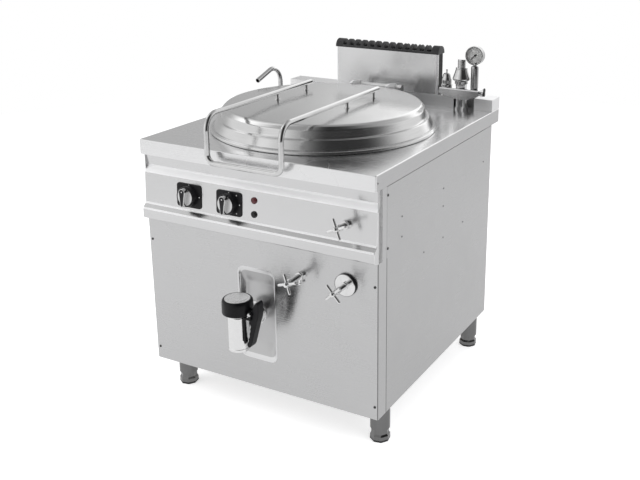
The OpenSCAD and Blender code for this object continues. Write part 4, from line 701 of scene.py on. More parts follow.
# Inner parts: the vessel with its steam jacket and wool, the chamber with its burners and duct,
# and the gas pipe and valve. They show through the open lid and from below and behind.
vessel_steel = brushed_steel("vessel_steel", 0.60, 0.26, along_z)
dress("vessel", 0, "cooking_vessel", vessel_steel, "cabinet", "vessel_steel", smooth=40)
dress("steam_jacket", 0, "jacket_shell", vessel_steel, "cabinet", "vessel_steel")
dress("drain_pipe", 0.4, "vessel_drain_pipe", vessel_steel, "cabinet", "vessel_steel")
duct_steel = brushed_steel("duct_steel", 0.36, 0.42, along_z)
dress("combustion_chamber", 0.6, "chamber_and_duct", duct_steel, "cabinet", "duct_steel")
dress("burner_tubes", 0.4, "burner_set", duct_steel, "cabinet", "duct_steel")
gas_brass, brass_tree, brass_shader, brass_place = bare_material("gas_brass", 0.3, 1.0, (0.62, 0.44, 0.18))
brass_cloud = remap(brass_tree, noise(brass_tree, brass_place, 30.0, 4.0), 0.35, 0.65, 0.0, 1.0)
wire(brass_tree, blend_colours(brass_tree, brass_cloud, (0.48, 0.33, 0.14), (0.68, 0.50, 0.24)),
     brass_shader.inputs["Base Color"])
wire(brass_tree, remap(brass_tree, brass_cloud, 0.0, 1.0, 0.42, 0.25), brass_shader.inputs["Roughness"])
bumped(brass_tree, brass_shader, noise(brass_tree, brass_place, 300.0), 0.2, 0.0004)
dress("gas_manifold", 0.4, "gas_pipework", gas_brass, "cabinet", "gas_brass")
dress("gas_valve", 1.2, "gas_valve_block", gas_brass, "cabinet", "gas_brass")
switch_white = dark_finish("switch_white", (0.72, 0.72, 0.69), 0.45, 300, 0.2, (0.85, 0.85, 0.83))
dress("power_switch", 1.2, "power_switch_block", switch_white, "cabinet", "switch_white")
wool, wool_tree, wool_shader, wool_place = bare_material("insulation_wool", 0.95, 0.0, (0.55, 0.50, 0.36))
wool_fibre = noise(wool_tree, stretched(wool_tree, wool_place, (160, 160, 60)), 1.0, 6.0, 0.75)
wire(wool_tree, blend_colours(wool_tree, wool_fibre, (0.36, 0.31, 0.19), (0.72, 0.67, 0.52)),
     wool_shader.inputs["Base Color"])
bumped(wool_tree, wool_shader, wool_fibre, 0.9, 0.003)
dress("insulation", 2.0, "wool_blanket", wool, "cabinet", "insulation_wool")


# Lid: spun from one stainless disc, with a turned rim, two wide bands, a shoulder and a shallow
# dome; its lathe polish leaves rings. A flat liner with a drip ring and a gasket close it below.
def eased(points, radii, steps=5):
    """A path of (r, z) points with its corners rounded by these radii."""
    path = [points[0]]
    for i in range(1, len(points) - 1):
        before, corner, after = (Vector(points[j]) for j in (i - 1, i, i + 1))
        to_before, to_after = (before - corner), (after - corner)
        reach = min(radii[i - 1], to_before.length * 0.49, to_after.length * 0.49)
        a, b = corner + to_before.normalized() * reach, corner + to_after.normalized() * reach
        for s in range(steps + 1):
            t = s / steps
            p = a * (1 - t) ** 2 + corner * 2 * t * (1 - t) + b * t ** 2
            path.append((p.x, p.y))
    return path + [points[-1]]


def turned(outline, steps=64, close=(True, True), foot=(0, 450)):
    """A piece turned as on a lathe from (radius, height) points, its axis upright on its foot."""
    r, z = outline[0]
    bpy.ops.mesh.primitive_circle_add(vertices=steps, radius=r / 1000)
    piece = bpy.context.active_object
    edit(piece)
    bpy.ops.transform.translate(value=(0, 0, z / 1000))
    if close[0]:
        bpy.ops.mesh.edge_face_add()
        bpy.ops.mesh.select_mode(type="EDGE")
    for next_r, next_z in outline[1:]:
        bpy.ops.mesh.extrude_edges_move(TRANSFORM_OT_translate={"value": (0, 0, (next_z - z) / 1000)})
        bpy.ops.transform.resize(value=(next_r / r, next_r / r, 1), center_override=(0, 0, 0))
        r, z = next_r, next_z
    if close[1]:
        bpy.ops.mesh.edge_face_add()
    piece.location = at(*foot, 0)
    return done_editing(piece)


def patterned(made, pattern, spread, greys, gloss_spread, roughs, bump, depth):
    """Gives a bare steel its colour, gloss and height from one pattern, with smudges on top."""
    steel, tree, shader, place = made
    smudges = use_group(tree, marks_group, Place=place)["Smudges"]
    low, high = greys
    wire(tree, blend_colours(tree, remap(tree, pattern, *spread, 0.0, 1.0), (low, low, low), (high, high, high)),
         shader.inputs["Base Color"])
    wire(tree, maths(tree, "ADD", remap(tree, pattern, *gloss_spread, *roughs),
                     maths(tree, "MULTIPLY", smudges, 0.06), True), shader.inputs["Roughness"])
    bumped(tree, shader, pattern, bump, depth)
    return steel


def lathe_steel(name, grey, rough, centre, ring_scale=900):
    """Steel with the fine rings of a lathe polish round an upright axis through a centre."""
    made = bare_material(name, rough, 1.0, (grey, grey, grey))
    _, tree, _, place = made
    split = tree.nodes.new("ShaderNodeSeparateXYZ")
    wire(tree, stretched(tree, place, (1, 1, 1), centre), split.inputs[0])
    x, y, z = split.outputs
    flat = maths(tree, "SQRT", maths(tree, "ADD", maths(tree, "MULTIPLY", x, x), maths(tree, "MULTIPLY", y, y)))
    join = tree.nodes.new("ShaderNodeCombineXYZ")
    for socket, value, scale in zip(join.inputs, (flat, maths(tree, "ARCTAN2", y, x), z),
                                    (ring_scale, 1.4, ring_scale)):
        wire(tree, maths(tree, "MULTIPLY", value, scale), socket)
    streaks = use_group(tree, grain_group, Along=join.outputs[0], Place=place)["Streaks"]
    return patterned(made, streaks, (0.36, 0.64), (grey * 0.95, min(grey * 1.05, 1.0)), (0.35, 0.65),
                     (rough * 0.85, rough * 1.15), 0.10, 0.0005)


lid_steel = lathe_steel("lid_steel", 0.72, 0.19, (0, vessel_y / 1000 - 0.45, 0))
dome_r, dome_foot, dome_rise = 305, 926, 11


def dome_z(r):
    """How high the dome's skin is at this distance from its middle."""
    return dome_foot + dome_rise * (1 - (r / dome_r) ** 2)


dome = [(dome_r * (1 - i / 14), dome_z(dome_r * (1 - i / 14))) for i in range(14)]
lid_path = eased([(350, 851.2), (354, 850.8), (355, 855), (353.4, 859.8), (344.5, 860.6), (332.8, 885.4),
                  (331, 888.2), (322.5, 888.9), (320.4, 893), (317.5, 913), (dome_r, dome_foot)] + dome[1:2],
                 [1.5, 2, 2.5, 2.5, 2.5, 1.5, 1.5, 2, 3, 7, 9])
lid_shell = turned(lid_path + dome[2:] + [(3, dome_foot + dome_rise)], 160, (False, True),
                   (0, vessel_y))
apply_modifier(lid_shell, "SOLIDIFY", thickness=0.0015, offset=-1)
set_out(lid_shell, "spun_lid", lid_steel, "lid", "lid_steel", "lid_shell", smooth=50)
dress("lid_liner", 0, "liner_disc", vessel_steel, "lid", "vessel_steel")
gasket_rubber = dark_finish("gasket_rubber", (0.05, 0.05, 0.05), 0.6, 260, 0.3, (0.12, 0.12, 0.12))
dress("lid_gasket", 1.5, "rim_gasket", gasket_rubber, "lid", "gasket_rubber")


# Lid handle: one polished steel tube, bent four times. Four short posts, welded to the dome, carry
# it over the lid, and its grip hangs down in front of the control panel.
def polished(name, grey, rough, along=(60, 60, 60)):
    """Polished or plated steel with faint wiping marks."""
    made = bare_material(name, rough, 1.0, (grey, grey, grey))
    _, tree, _, place = made
    wipe = noise(tree, stretched(tree, place, along), 1.0, 4.0, 0.6)
    return patterned(made, wipe, (0.35, 0.65), (grey * 0.94, min(grey * 1.04, 1.0)), (0.3, 0.7),
                     (rough * 0.7, rough * 1.4), 0.05, 0.0004)


def ring_at(place, heading, r, vertices=28):
    """An open ring of this radius round a place, facing along a heading, left in edit mode."""
    bpy.ops.mesh.primitive_circle_add(vertices=vertices, radius=r / 1000, location=place,
                                      rotation=Vector(heading).to_track_quat("Z", "Y").to_euler())
    piece = bpy.context.active_object
    settle(piece)
    edit(piece)
    return piece


def run_to(start, end):
    """Extrudes the open end of a tube straight from one place to another."""
    bpy.ops.mesh.extrude_edges_move(TRANSFORM_OT_translate={"value": end - start})
    return end


def bend_round(place, centre, axis, degrees, steps):
    """Sweeps the open end of a tube round a centre; returns where it ends."""
    bpy.ops.mesh.spin(steps=steps, angle=-radians(degrees), center=centre, axis=axis)
    return centre + Matrix.Rotation(radians(degrees), 3, Vector(axis)) @ (place - centre)


handle_steel = polished("handle_steel", 0.70, 0.12, (90, 12, 90))
handle_x, handle_z, handle_back = 125, 958, 536.5
grip_y, grip_z, fall_r, grip_r = -26, 821, 45, 24
handle = ring_at(at(handle_x, handle_back, handle_z), (0, -1, 0), 3)
bpy.ops.mesh.edge_face_add()
bpy.ops.mesh.select_mode(type="EDGE")
spot = at(handle_x, handle_back, handle_z)
for grown, setback in ((6 / 3, 535.2), (8 / 6, 531)):
    spot = run_to(spot, at(handle_x, setback, handle_z))
    bpy.ops.transform.resize(value=(grown, 1, grown), center_override=spot)
spot = run_to(spot, at(handle_x, grip_y + fall_r, handle_z))
spot = bend_round(spot, at(handle_x, grip_y + fall_r, handle_z - fall_r), (1, 0, 0), 90, 12)
spot = run_to(spot, at(handle_x, grip_y, grip_z + grip_r))
spot = bend_round(spot, at(handle_x - grip_r, grip_y, grip_z + grip_r), (0, 1, 0), 90, 10)
run_to(spot, at(0, grip_y, grip_z))
done_editing(handle)
apply_modifier(handle, "MIRROR", use_axis=(True, False, False), merge_threshold=0.0002)
set_out(handle, "bent_handle_tube", handle_steel, "lid", "handle_steel", "lid_handle", smooth=50)


def joined(*parts, place=None):
    """Joins parts into one; where a place is given, they were made round the origin and go there."""
    take_up(*parts)
    bpy.ops.object.join()
    if place is not None:
        parts[0].matrix_world = place
    return parts[0]


posts = []
for side in (-1, 1):
    for post_y in (334, 502):
        skin_z = dome_z(hypot(handle_x, post_y - vessel_y))
        posts.append(turned([(9, skin_z - 1.5), (9, skin_z + 1.2), (8, skin_z + 2.2), (6, skin_z + 3.2),
                             (5.4, skin_z + 6), (5.4, 948), (6.2, 951), (6.2, 955)], 32,
                            foot=(side * handle_x, post_y)))
set_out(joined(*posts), "handle_post_set", handle_steel, "lid", "handle_steel", "handle_posts")

# Hinge: two flat steel arms, welded to the lid, turn on a steel tube that is held between two
# pillars on the worktop.
hinge_steel = polished("hinge_steel", 0.86, 0.40, (40, 40, 40))
# The arms get a pale steel, only partly metal so that the lamps light it: a painted highlight
lid_arm_highlight_steel = polished("lid_arm_highlight_steel", 0.92, 0.50, (40, 40, 40))
lid_arm_highlight_steel.node_tree.nodes["Principled BSDF"].inputs["Metallic"].default_value = 0.3
dress("hinge_arms", 1.4, "lid_arms", lid_arm_highlight_steel, "lid", "hinge_steel", segments=3)
dress("hinge_pillars", 1.2, "hinge_brackets", hinge_steel, "cabinet", "hinge_steel", segments=3)
dress("hinge_tube", 0.8, "hinge_axle", hinge_steel, "cabinet", "hinge_steel")

# Water spout: a chrome-plated tube with one bend. It swivels in a turned socket on the worktop,
# where a gland nut holds it.
spout_chrome = polished("spout_chrome", 0.68, 0.08)
bend_z, bend_r, bend_turn = 909, 50, 108
fall_len, flare_len, tip_len = 73, 1.5, 4.5
socket = turned(eased([(5, 850), (19, 850), (19, 854), (14.5, 856.5), (14.5, 868), (16, 869), (16, 881),
                       (12.5, 884), (8.4, 884), (8.4, 862)], [0.1, 0.8, 2, 2, 0.8, 0.8, 1.6, 1, 0.5]), 48,
                (False, False), foot=(spout_x, spout_y))
tail = turned([(9, 790), (9, 845), (8, 845.2), (8, 850)], 32, foot=(spout_x, spout_y))
set_out(joined(socket, tail), "spout_socket", spout_chrome, "cabinet", "spout_chrome", "spout_base")
spot = at(spout_x, spout_y, 860)
gooseneck = ring_at(spot, (0, 0, 1), 8)
spot = run_to(spot, at(spout_x, spout_y, bend_z))
spot = bend_round(spot, at(spout_x, spout_y - bend_r, bend_z), (1, 0, 0), bend_turn, 20)
# One millimetre along the end that falls
dip = Vector((0, -cos(radians(bend_turn - 90)), -sin(radians(bend_turn - 90)))) / 1000
spot = run_to(spot, spot + dip * fall_len)
run_to(spot, spot + dip * flare_len)
bpy.ops.transform.resize(value=(1.06, 1.06, 1.06), center_override=spot + dip * flare_len)
run_to(spot, spot + dip * tip_len)
bpy.ops.mesh.select_all(action="SELECT")
done_editing(gooseneck)
apply_modifier(gooseneck, "SOLIDIFY", thickness=0.0014, offset=-1)
set_out(gooseneck, "gooseneck", spout_chrome, "spout", "spout_chrome", "spout", smooth=50)


# Knobs: a black moulded skirt with a brushed disc let into it, and a tapered grip with plated
# sides and a black inlay. Each turns over a black plate with white marks.
def outward(x, y, z, tilt=0.0):
    """The place and turn of a piece made round the origin whose Z axis points out of the front."""
    turn = Matrix(((1, 0, 0), (0, sin(tilt), -cos(tilt)), (0, cos(tilt), sin(tilt)))).to_4x4()
    return Matrix.Translation(at(x, y, z)) @ turn


face_lean, face_rise = groove_foot[0] - face_foot[0], groove_foot[1] - face_foot[1]


def on_face(x, z):
    """The same, on the leaning face of the control panel."""
    return outward(x, face_foot[0] + (z - face_foot[1]) * face_lean / face_rise, z, atan2(face_lean, face_rise))


def flat(points, low, high, edge=0.0, segments=2):
    """A plate with this outline in X and Y, lying from one height to another, in millimetres."""
    piece = prism(points, low, high, turn=lambda u, v, w: (u, v + 450, w))
    if edge:
        broken(piece, edge, segments, 50)
    return piece


plate_black = dark_finish("plate_black", (0.008, 0.008, 0.009), 0.36, 500, 0.15, (0.04, 0.04, 0.04), shine=0.22)
mark_white = dark_finish("mark_white", (0.78, 0.78, 0.76), 0.5, 300, 0.1, (0.85, 0.85, 0.85))
knob_z, knob_mark_out = 696, 18
plate_w, plate_h, plate_t, plate_r, plate_hole_r = 90, 72, 3, 9, 7
# Each knob's place across the panel, and its marks: how far each is turned and how far out
knobs = {"switch": (-229, ((0, 31.5), (90, 38))), "gas": (-84, ((0, 31.5), (45, 38.5), (90, 38), (135, 38.5)))}
plates, dots = [], []
for knob_x, marks in knobs.values():
    place = on_face(knob_x, knob_z)
    plate = flat(round_rect(plate_w, plate_h, plate_r), 0.1, plate_t, 0.8, 3)
    cut_away(plate, drill((0, 0, plate_t / 2000), plate_hole_r, 8, vertices=32))
    plate.matrix_world = place
    plates.append(plate)
    for turn, reach in marks:
        dot = turned([(1.7, 2.9), (1.7, 3.1), (1.3, 3.3)], 16)
        dot.matrix_world = place @ Matrix.Translation(
            Vector((sin(radians(turn)) * reach, cos(radians(turn)) * reach, 0)) / 1000)
        dots.append(dot)
set_out(joined(*plates), "knob_backplates", plate_black, "cabinet", "plate_black", "knob_plates")
set_out(joined(*dots), "plate_marks", mark_white, "cabinet", "plate_black")

knob_black = dark_finish("knob_black", (0.007, 0.007, 0.008), 0.30, 420, 0.12, (0.04, 0.04, 0.04), shine=0.25)
knob_disc = lathe_steel("knob_disc", 0.74, 0.30, (0, 0, 0))
grip_plated = polished("grip_plated", 0.62, 0.16, (300, 300, 40))


def grip_outline(head, tail, half_l, steps=10):
    """The grip seen from the front: a wide round head above and a narrow round tail below."""
    waist, waist_y = (head + tail) / 2 * 0.92, (tail - head) / 2
    return (arc(0, half_l - head, head, 0, 180, steps) + [(-waist, waist_y)]
            + arc(0, tail - half_l, tail, 180, 360, steps) + [(waist, waist_y)])


for which, (knob_x, _) in knobs.items():
    place, body = on_face(knob_x, knob_z), which + "_knob"
    skirt = turned(eased([(28, 3.3), (31.6, 3.3), (32, 4.2), (31, 20), (29, 23.6), (26.6, 23.6), (26.4, 21.8),
                          (2, 21.8)], [0.5, 0.8, 2.4, 1.8, 0.4, 0.3]), 72)
    spindle = turned([(3.8, -24), (3.8, 4)], 24)
    inlay = flat(grip_outline(9.2, 4.4, 25.6), 36.4, 37.1, 0.2)
    set_out(joined(skirt, spindle, inlay, place=place), body + "_skirt", knob_black, body, "knob_black", body)
    disc = turned([(26.3, 21.7), (26.3, 22.4), (25.9, 22.7), (2, 22.7)], 64)
    set_out(joined(disc, place=place), body + "_disc", knob_disc, body, "knob_black")
    grip = flat(grip_outline(12, 7, 28), 21.9, 36.8, 1.6, 3)
    set_out(joined(grip, place=place), body + "_grip", grip_plated, body, "knob_black")
    dot = turned([(1.8, 37.0), (1.8, 37.3), (1.4, 37.5)], 16)
    joined(dot, place=place @ Matrix.Translation((0, knob_mark_out / 1000, 0)))
    set_out(dot, body + "_mark", mark_white, body, "knob_black")

# Lamp and button: a red lens in a dark ring, and the black ignition button in its barrel. Both
# are moulded, and a nut behind the panel holds each.
lamp_red, red_tree, red_shader, red_place = bare_material("lamp_red", 0.16, 0.0, (0.08, 0.004, 0.008))
red_facets = noise(red_tree, red_place, 260.0, 1.0)
wire(red_tree, blend_colours(red_tree, red_facets, (0.03, 0.002, 0.004), (0.13, 0.008, 0.013)),
     red_shader.inputs["Base Color"])
bumped(red_tree, red_shader, red_facets, 0.2, 0.0006)
red_shader.inputs["Coat Weight"].default_value = 0.3
small_x, lamp_z, button_z = 3, 717, 676
lamp = turned(eased([(7, -22), (7, 0), (10, 0), (10, 2.2), (8.4, 3), (7.6, 3), (6.4, 5), (3.6, 5.9), (0.6, 6)],
                    [0.2, 0.2, 0.4, 0.6, 0.3, 1, 1.5, 1.5]), 40)
set_out(joined(lamp, place=on_face(small_x, lamp_z)), "pilot_lamp", lamp_red, "cabinet", "lamp_red",
        "indicator_lamp")
button_black = dark_finish("button_black", (0.007, 0.007, 0.007), 0.22, 300, 0.08, (0.04, 0.04, 0.04), shine=0.3)
barrel = turned(eased([(9, -26), (9, 0), (10, 0), (10, 2.4), (9.2, 3), (7.0, 3), (6.8, -23)],
                      [0.2, 0.2, 0.4, 0.6, 0.4, 0.4]), 40)
set_out(joined(barrel, place=on_face(small_x, button_z)), "igniter_barrel", button_black, "cabinet", "button_black",
        "igniter_body")
button = turned(eased([(6.5, -19.5), (6.5, 4.4), (5.4, 5.9), (3, 5.3), (0.6, 5.2)], [0.8, 0.8, 1]), 36)
set_out(joined(button, place=on_face(small_x, button_z)), "igniter_push", button_black, "igniter_button",
        "button_black", "igniter_button")

# Taps: chrome-plated bonnets with a hexagon and a gland nut, each screwed in from the front, and
# cross handles of four round arms. The jacket's tap has a wide rose with a rubber edge.
lever_black = dark_finish("lever_black", (0.004, 0.004, 0.005), 0.32, 380, 0.14, (0.03, 0.03, 0.03), shine=0.2)
tap_chrome = polished("tap_chrome", 0.80, 0.09)


def tap_arm(reach, turn):
    """One arm of the cross, a rod with a rounded end, lying out along a turn."""
    arm = turned(eased([(4.3, 5), (4, 9), (4, 28.6), (3, 30.6), (0.6, 31)], [3, 1.5, 1.2, 0.8]), 20)
    arm.matrix_world = Matrix.Translation((0, 0, reach / 1000)) @ Matrix.Rotation(radians(turn), 4, "Z") \
        @ Matrix.Rotation(radians(90), 4, "Y")
    settle(arm)
    return arm


def fit_tap(name, place, reach, turn, rose_r):
    """One tap with its rose on a place; its cross stands this far out, turned by an angle."""
    top = reach - 9.3
    bonnet = turned(eased([(9, -26), (9, 0), (rose_r, 0), (rose_r, rose_r * 0.24), (rose_r * 0.94, rose_r * 0.29),
                           (11.5, 9.6), (9, 13), (8.6, top - 12), (9, top - 9.4), (10.4, top - 8.8),
                           (10.4, top - 1.4), (8.6, top), (4.4, top), (4.4, top - 18)],
                          [0.2, 0.2, 0.6, 1.5, 2, 3, 2, 2, 0.4, 0.8, 0.8, 0.3, 0.2]), 48, (True, False))
    nut = turned([(10.5, 8), (12.4, 9), (12.4, 16), (10.6, 17)], 6)
    parts = [bonnet, nut]
    if name == "level_tap":
        stub = turned(eased([(3.4, 8), (3.9, 20), (4.9, 21), (4.9, 25)], [1, 0.4]), 20)
        stub.matrix_world = Matrix.Translation((0, 0, 0.012)) @ Matrix.Rotation(radians(90), 4, "X")
        settle(stub)
        parts.append(stub)
    set_out(joined(*parts, place=place), name + "_bonnet", tap_chrome, "cabinet", "tap_chrome", name + "_body")
    hub = turned(eased([(5, reach - 9), (7.6, reach - 8.6), (8, reach - 4), (7.2, reach + 1), (8, reach + 6),
                        (7.4, reach + 9), (5.4, reach + 12), (2.5, reach + 13), (0.6, reach + 13)],
                       [0.8, 2, 2, 2, 1.5, 1.5, 1]), 40)
    spindle = turned([(3.9, reach - 29), (3.9, reach - 8)], 20)
    arms = [tap_arm(reach, turn + quarter) for quarter in (0, 90, 180, 270)]
    set_out(joined(hub, spindle, *arms, place=place), name + "_cross", tap_chrome, name + "_handle", "tap_chrome",
            name + "_handle")


low_tap_z, small_rose_r, jacket_rose_r = 519, 14, 32.4
fit_tap("panel_tap", on_face(306, 699), 58, 22, small_rose_r)
fit_tap("level_tap", outward(154, front_y, low_tap_z), 76, 17, small_rose_r)
jacket_tap_place = outward(299, front_y, low_tap_z)
seal = turned([(32.6, 0.2), (33, 0.6), (33, 7.4), (32.6, 7.8)], 64, (False, False))
set_out(joined(seal, place=jacket_tap_place), "jacket_tap_rose_edge", lever_black, "cabinet", "tap_chrome")
fit_tap("jacket_tap", jacket_tap_place, 72, 42, jacket_rose_r)

# Drain tap: a machined stainless barrel with its branch to the vessel, a black moulded collar
# with a steel cap let into it, and a long black lever that lifts the plunger.
drain_x, drain_z, barrel_y = -4, 369, -78
drain_steel = lathe_steel("drain_steel", 0.84, 0.20, (drain_x / 1000, barrel_y / 1000 - 0.45, 0), 500)
barrel = turned(eased([(24.4, 318), (26, 314), (26, 292), (28.8, 292), (31, 293.5), (31, 301), (30.4, 302.2),
                       (31, 303.4), (31, 398), (30, 400), (30, 408), (5, 408)],
                      [1, 0.5, 0.5, 1, 0.4, 0.5, 0.5, 1, 1, 0.5]), 64, (False, True), foot=(drain_x, barrel_y))
branch = turned([(26.8, 20), (26.8, 102), (22, 102)], 48, (False, False))
nut = turned(eased([(27, 70), (30.4, 71.5), (31, 73), (31, 84), (30.4, 85.4), (35, 86), (36, 87), (36, 94), (27, 94)],
                   [0.8, 0.8, 0.8, 0.4, 0.8, 0.8, 0.4]), 48)
for part in (branch, nut):
    part.matrix_world = Matrix.Translation(at(drain_x, barrel_y, drain_z)) @ Matrix.Rotation(radians(-90), 4, "X")
settle(barrel, branch, nut)
set_out(joined(barrel, branch, nut), "drain_barrel", drain_steel, "cabinet", "drain_steel", "drain_tap_body")
dress("drain_plunger", 0.6, "drain_valve_stem", drain_steel, "drain_plunger", "drain_steel")
collar = turned(eased([(31.2, 413), (31.2, 408), (44.5, 408), (45.5, 410), (45.2, 440), (44, 447), (40.5, 451),
                       (37.6, 451), (37.6, 413)], [0.3, 0.6, 1, 4, 5, 2.5, 0.5, 0.3]), 80, (False, False),
                foot=(drain_x, barrel_y))
settle(collar)
pivot_x, pivot_z, pivot_r = drain_x + 53, 418, 4.3


def lever_shape(points, half, edge=0.0, segments=3):
    """A thick plate beside the barrel, with its outline in X and Z from the lever's pivot."""
    piece = prism(points, barrel_y - half, barrel_y + half, turn=lambda u, v, w: (pivot_x + u, w, pivot_z + v))
    if edge:
        broken(piece, edge, segments, 28)
    return piece


ear_r, slot_r, ear_half, slot_half, lever_half = 8, 15, 9, 9.7, 13.7
ear = lever_shape(arc(0, 0, ear_r, -90, 90, 12) + [(-15, ear_r), (-15, -ear_r)], ear_half, 1.5)
set_out(joined(collar, ear), "tap_collar", lever_black, "cabinet", "lever_black", "drain_collar")
cap = turned(eased([(37.4, 448), (37.4, 450.6), (36.6, 451.4), (30, 451.2), (28.5, 452), (6, 452), (0.6, 451.8)],
                   [0.6, 0.5, 1, 1, 2]), 72, foot=(drain_x, barrel_y))
cap_steel = lathe_steel("cap_steel", 0.88, 0.26, (drain_x / 1000, barrel_y / 1000 - 0.45, 0), 700)
set_out(cap, "tap_cap", cap_steel, "cabinet", "drain_steel", "drain_cap")

lever_path = [(6, 9), (10.5, 22), (14.5, 32), (19, 37.5), (24, 37.5), (27, 32), (27.5, 12), (25.5, -6), (21.5, -26),
              (17, -60), (12, -98), (8.5, -106), (3, -108), (-3, -103), (-4, -96), (1, -88), (-0.5, -80), (2.5, -72),
              (0.5, -64), (3, -56), (1, -48), (3, -40), (-2, -30), (-7, -18), (-8, 0)]
lever_lean, lever_len = 16, 108
lever_path = [(u + lever_lean * min(0, v + 16) / lever_len, v) for u, v in lever_path]
lever = lever_shape(lever_path, lever_half, 3.2, 4)
cheeks = lever_shape(arc(0, 0, slot_r, -130, 130, 13) + [(-60, 14), (-60, -14)], slot_half)
cut_away(lever, cheeks, drill(at(pivot_x, barrel_y, pivot_z), pivot_r, 60, (0, 1, 0), 32))
set_out(lever, "drain_lever_grip", lever_black, "drain_lever", "lever_black", "drain_lever")
dress("drain_catch", 1.0, "lever_latch", lever_black, "drain_catch", "lever_black", segments=3)

# Screws: dark domed heads, screwed into the front and side sheets, and the slotted pin of plated
# steel that the drain lever turns on.
screw_steel = polished("screw_steel", 0.70, 0.20)
screw_dark = dark_finish("screw_dark", (0.02, 0.02, 0.02), 0.35, 300, 0.1, (0.06, 0.06, 0.06))
heads = folded_copy("screws", 0.3)
lever_pin = split_off(heads, lambda p, n: p.y < -50 and abs(p.x - pivot_x) < 30)
set_out(lever_pin, "lever_pivot_pin", screw_steel, "cabinet", "screw_steel")
set_out(heads, "screw_heads", screw_dark, "cabinet", "screw_steel", "screws")

# Safety group: a brushed manifold on two pipes, with a safety valve, a vacuum breaker with its
# pin, a pressure gauge on a thick stem and a small purge cock.
safety_steel = brushed_steel("safety_steel", 0.86, 0.22, along_x)
group_x, group_y, group_z, breaker_x = 283, 840, 921, 229
manifold = folded_copy("safety_manifold", 0)
round_off(manifold, 5, 4, lambda p, d: abs(p.z - group_z) < 0.4 and abs(d.z) < 0.1)
set_out(manifold, "group_manifold", safety_steel, "cabinet", "safety_steel", "safety_manifold")
valve_chrome = polished("valve_chrome", 0.64, 0.12)
valve = turned(eased([(19, group_z + 11), (22.5, 935), (22.5, 944), (29.5, 948), (30.5, 953), (28.5, 959),
                      (23.5, 973), (20.4, 983), (20.4, 988), (19, 990), (13.8, 990.5), (13.8, 1015),
                      (12.4, 1017.6), (4, 1018)],
                     [1, 1, 2, 2, 2, 4, 3, 1.5, 1, 0.8, 0.8, 1.5, 1.5]), 56, foot=(group_x, group_y))
valve_hex = turned([(17.5, group_z), (19, group_z + 1), (19, group_z + 11), (17.5, group_z + 12)], 6,
                   foot=(group_x, group_y))
set_out(joined(valve, valve_hex), "relief_valve", valve_chrome, "cabinet", "valve_chrome", "safety_valve")
breaker = turned(eased([(19, group_z), (20, 922), (20, 929), (18, 931), (18, 944), (15, 951), (12.4, 962), (8, 966.5),
                        (2.9, 967), (2.8, 936)], [0.5, 0.8, 1, 1, 3, 3, 3, 1, 0.2]), 48, (True, False),
                 foot=(breaker_x, group_y))
set_out(breaker, "breaker_body", valve_chrome, "cabinet", "valve_chrome", "vacuum_breaker")
pin = turned(eased([(2.5, 933.5), (2.5, 975), (3.5, 976.2), (3.4, 978), (2, 979), (0.5, 979)],
                   [0.5, 0.5, 0.8, 0.8]), 24, foot=(breaker_x, group_y))
set_out(pin, "breaker_pin", valve_chrome, "vacuum_pin", "valve_chrome", "vacuum_pin")

# Pressure gauge: a pressed steel case with a plain dial and a needle under glass, screwed on a
# thick stem
gauge_steel = polished("gauge_steel", 0.46, 0.16)
gauge_x, gauge_back, gauge_z = 330, 852.5, 1034
gauge_place = outward(gauge_x, gauge_back, gauge_z)
case = turned(eased([(2, 0), (29, 0), (31, 2), (31.2, 18), (31.5, 20), (31.5, 24), (30.6, 25), (29.2, 25),
                     (29, 12), (2, 12)], [2, 2, 1, 0.5, 0.8, 0.8, 0.5, 0.3]), 72)
case.matrix_world = gauge_place
stem = turned(eased([(10, group_z), (13, 922), (13, 992), (11.5, 998), (6.2, 999), (6, 1010)],
                    [0.5, 0.5, 2, 1, 0.5]), 40, foot=(gauge_x, group_y))
hub = turned([(1.1, 12), (1.1, 14.4)], 12)
hub.matrix_world = gauge_place
settle(case, stem, hub)
set_out(joined(case, stem, hub), "gauge_housing", gauge_steel, "cabinet", "gauge_steel", "gauge_case")
dial_white = dark_finish("dial_white", (0.48, 0.48, 0.475), 0.5, 200, 0.03, (0.6, 0.6, 0.6))
dial = turned([(28.8, 12.1), (28.8, 13), (1.3, 13)], 64, (False, False))
set_out(joined(dial, place=gauge_place), "gauge_face", dial_white, "cabinet", "dial_white", "gauge_dial")
dial_start, tick_turn, tick_end, ink_low, ink_high, number_reach, number_size = 225, 9, 26, 13.02, 13.12, 16.5, 7
ink = []
for step in range(31):
    turn = radians(dial_start - step * tick_turn)
    wide, start = (0.32, 22.5) if step % 5 == 0 else (0.14, 24)
    tick = flat([(-wide, start), (wide, start), (wide, tick_end), (-wide, tick_end)], ink_low, ink_high)
    tick.matrix_world = Matrix.Rotation(turn - pi / 2, 4, "Z")
    ink.append(tick)
for number in range(4):
    turn = radians(dial_start - number * 10 * tick_turn)
    bpy.ops.object.text_add(location=Vector((number_reach * cos(turn), number_reach * sin(turn), ink_low)) / 1000)
    figure = bpy.context.active_object
    figure.data.body = str(number)
    figure.data.size = number_size / 1000
    figure.data.align_x = figure.data.align_y = "CENTER"
    figure.data.extrude = 0.00005
    take_up(figure)
    bpy.ops.object.convert(target="MESH")
    ink.append(bpy.context.active_object)
settle(*ink)
ink_grey = dark_finish("ink_grey", (0.16, 0.16, 0.16), 0.5, 300, 0.05, (0.2, 0.2, 0.2))
set_out(joined(*ink, place=gauge_place), "gauge_scale", ink_grey, "cabinet", "dial_white")
ink_black = dark_finish("ink_black", (0.012, 0.012, 0.012), 0.5, 300, 0.05, (0.02, 0.02, 0.02))
needle = flat([(-1.5, -7), (1.5, -7), (0.9, 22), (-0.9, 22)], 14.9, 15.7)
boss = turned([(3.2, 14.9), (3.2, 16.3), (2.4, 16.8)], 24)
joined(needle, boss, place=gauge_place @ Matrix.Rotation(radians(dial_start - 90), 4, "Z"))
set_out(needle, "gauge_pointer", ink_black, "gauge_needle", "needle_black", "gauge_needle")
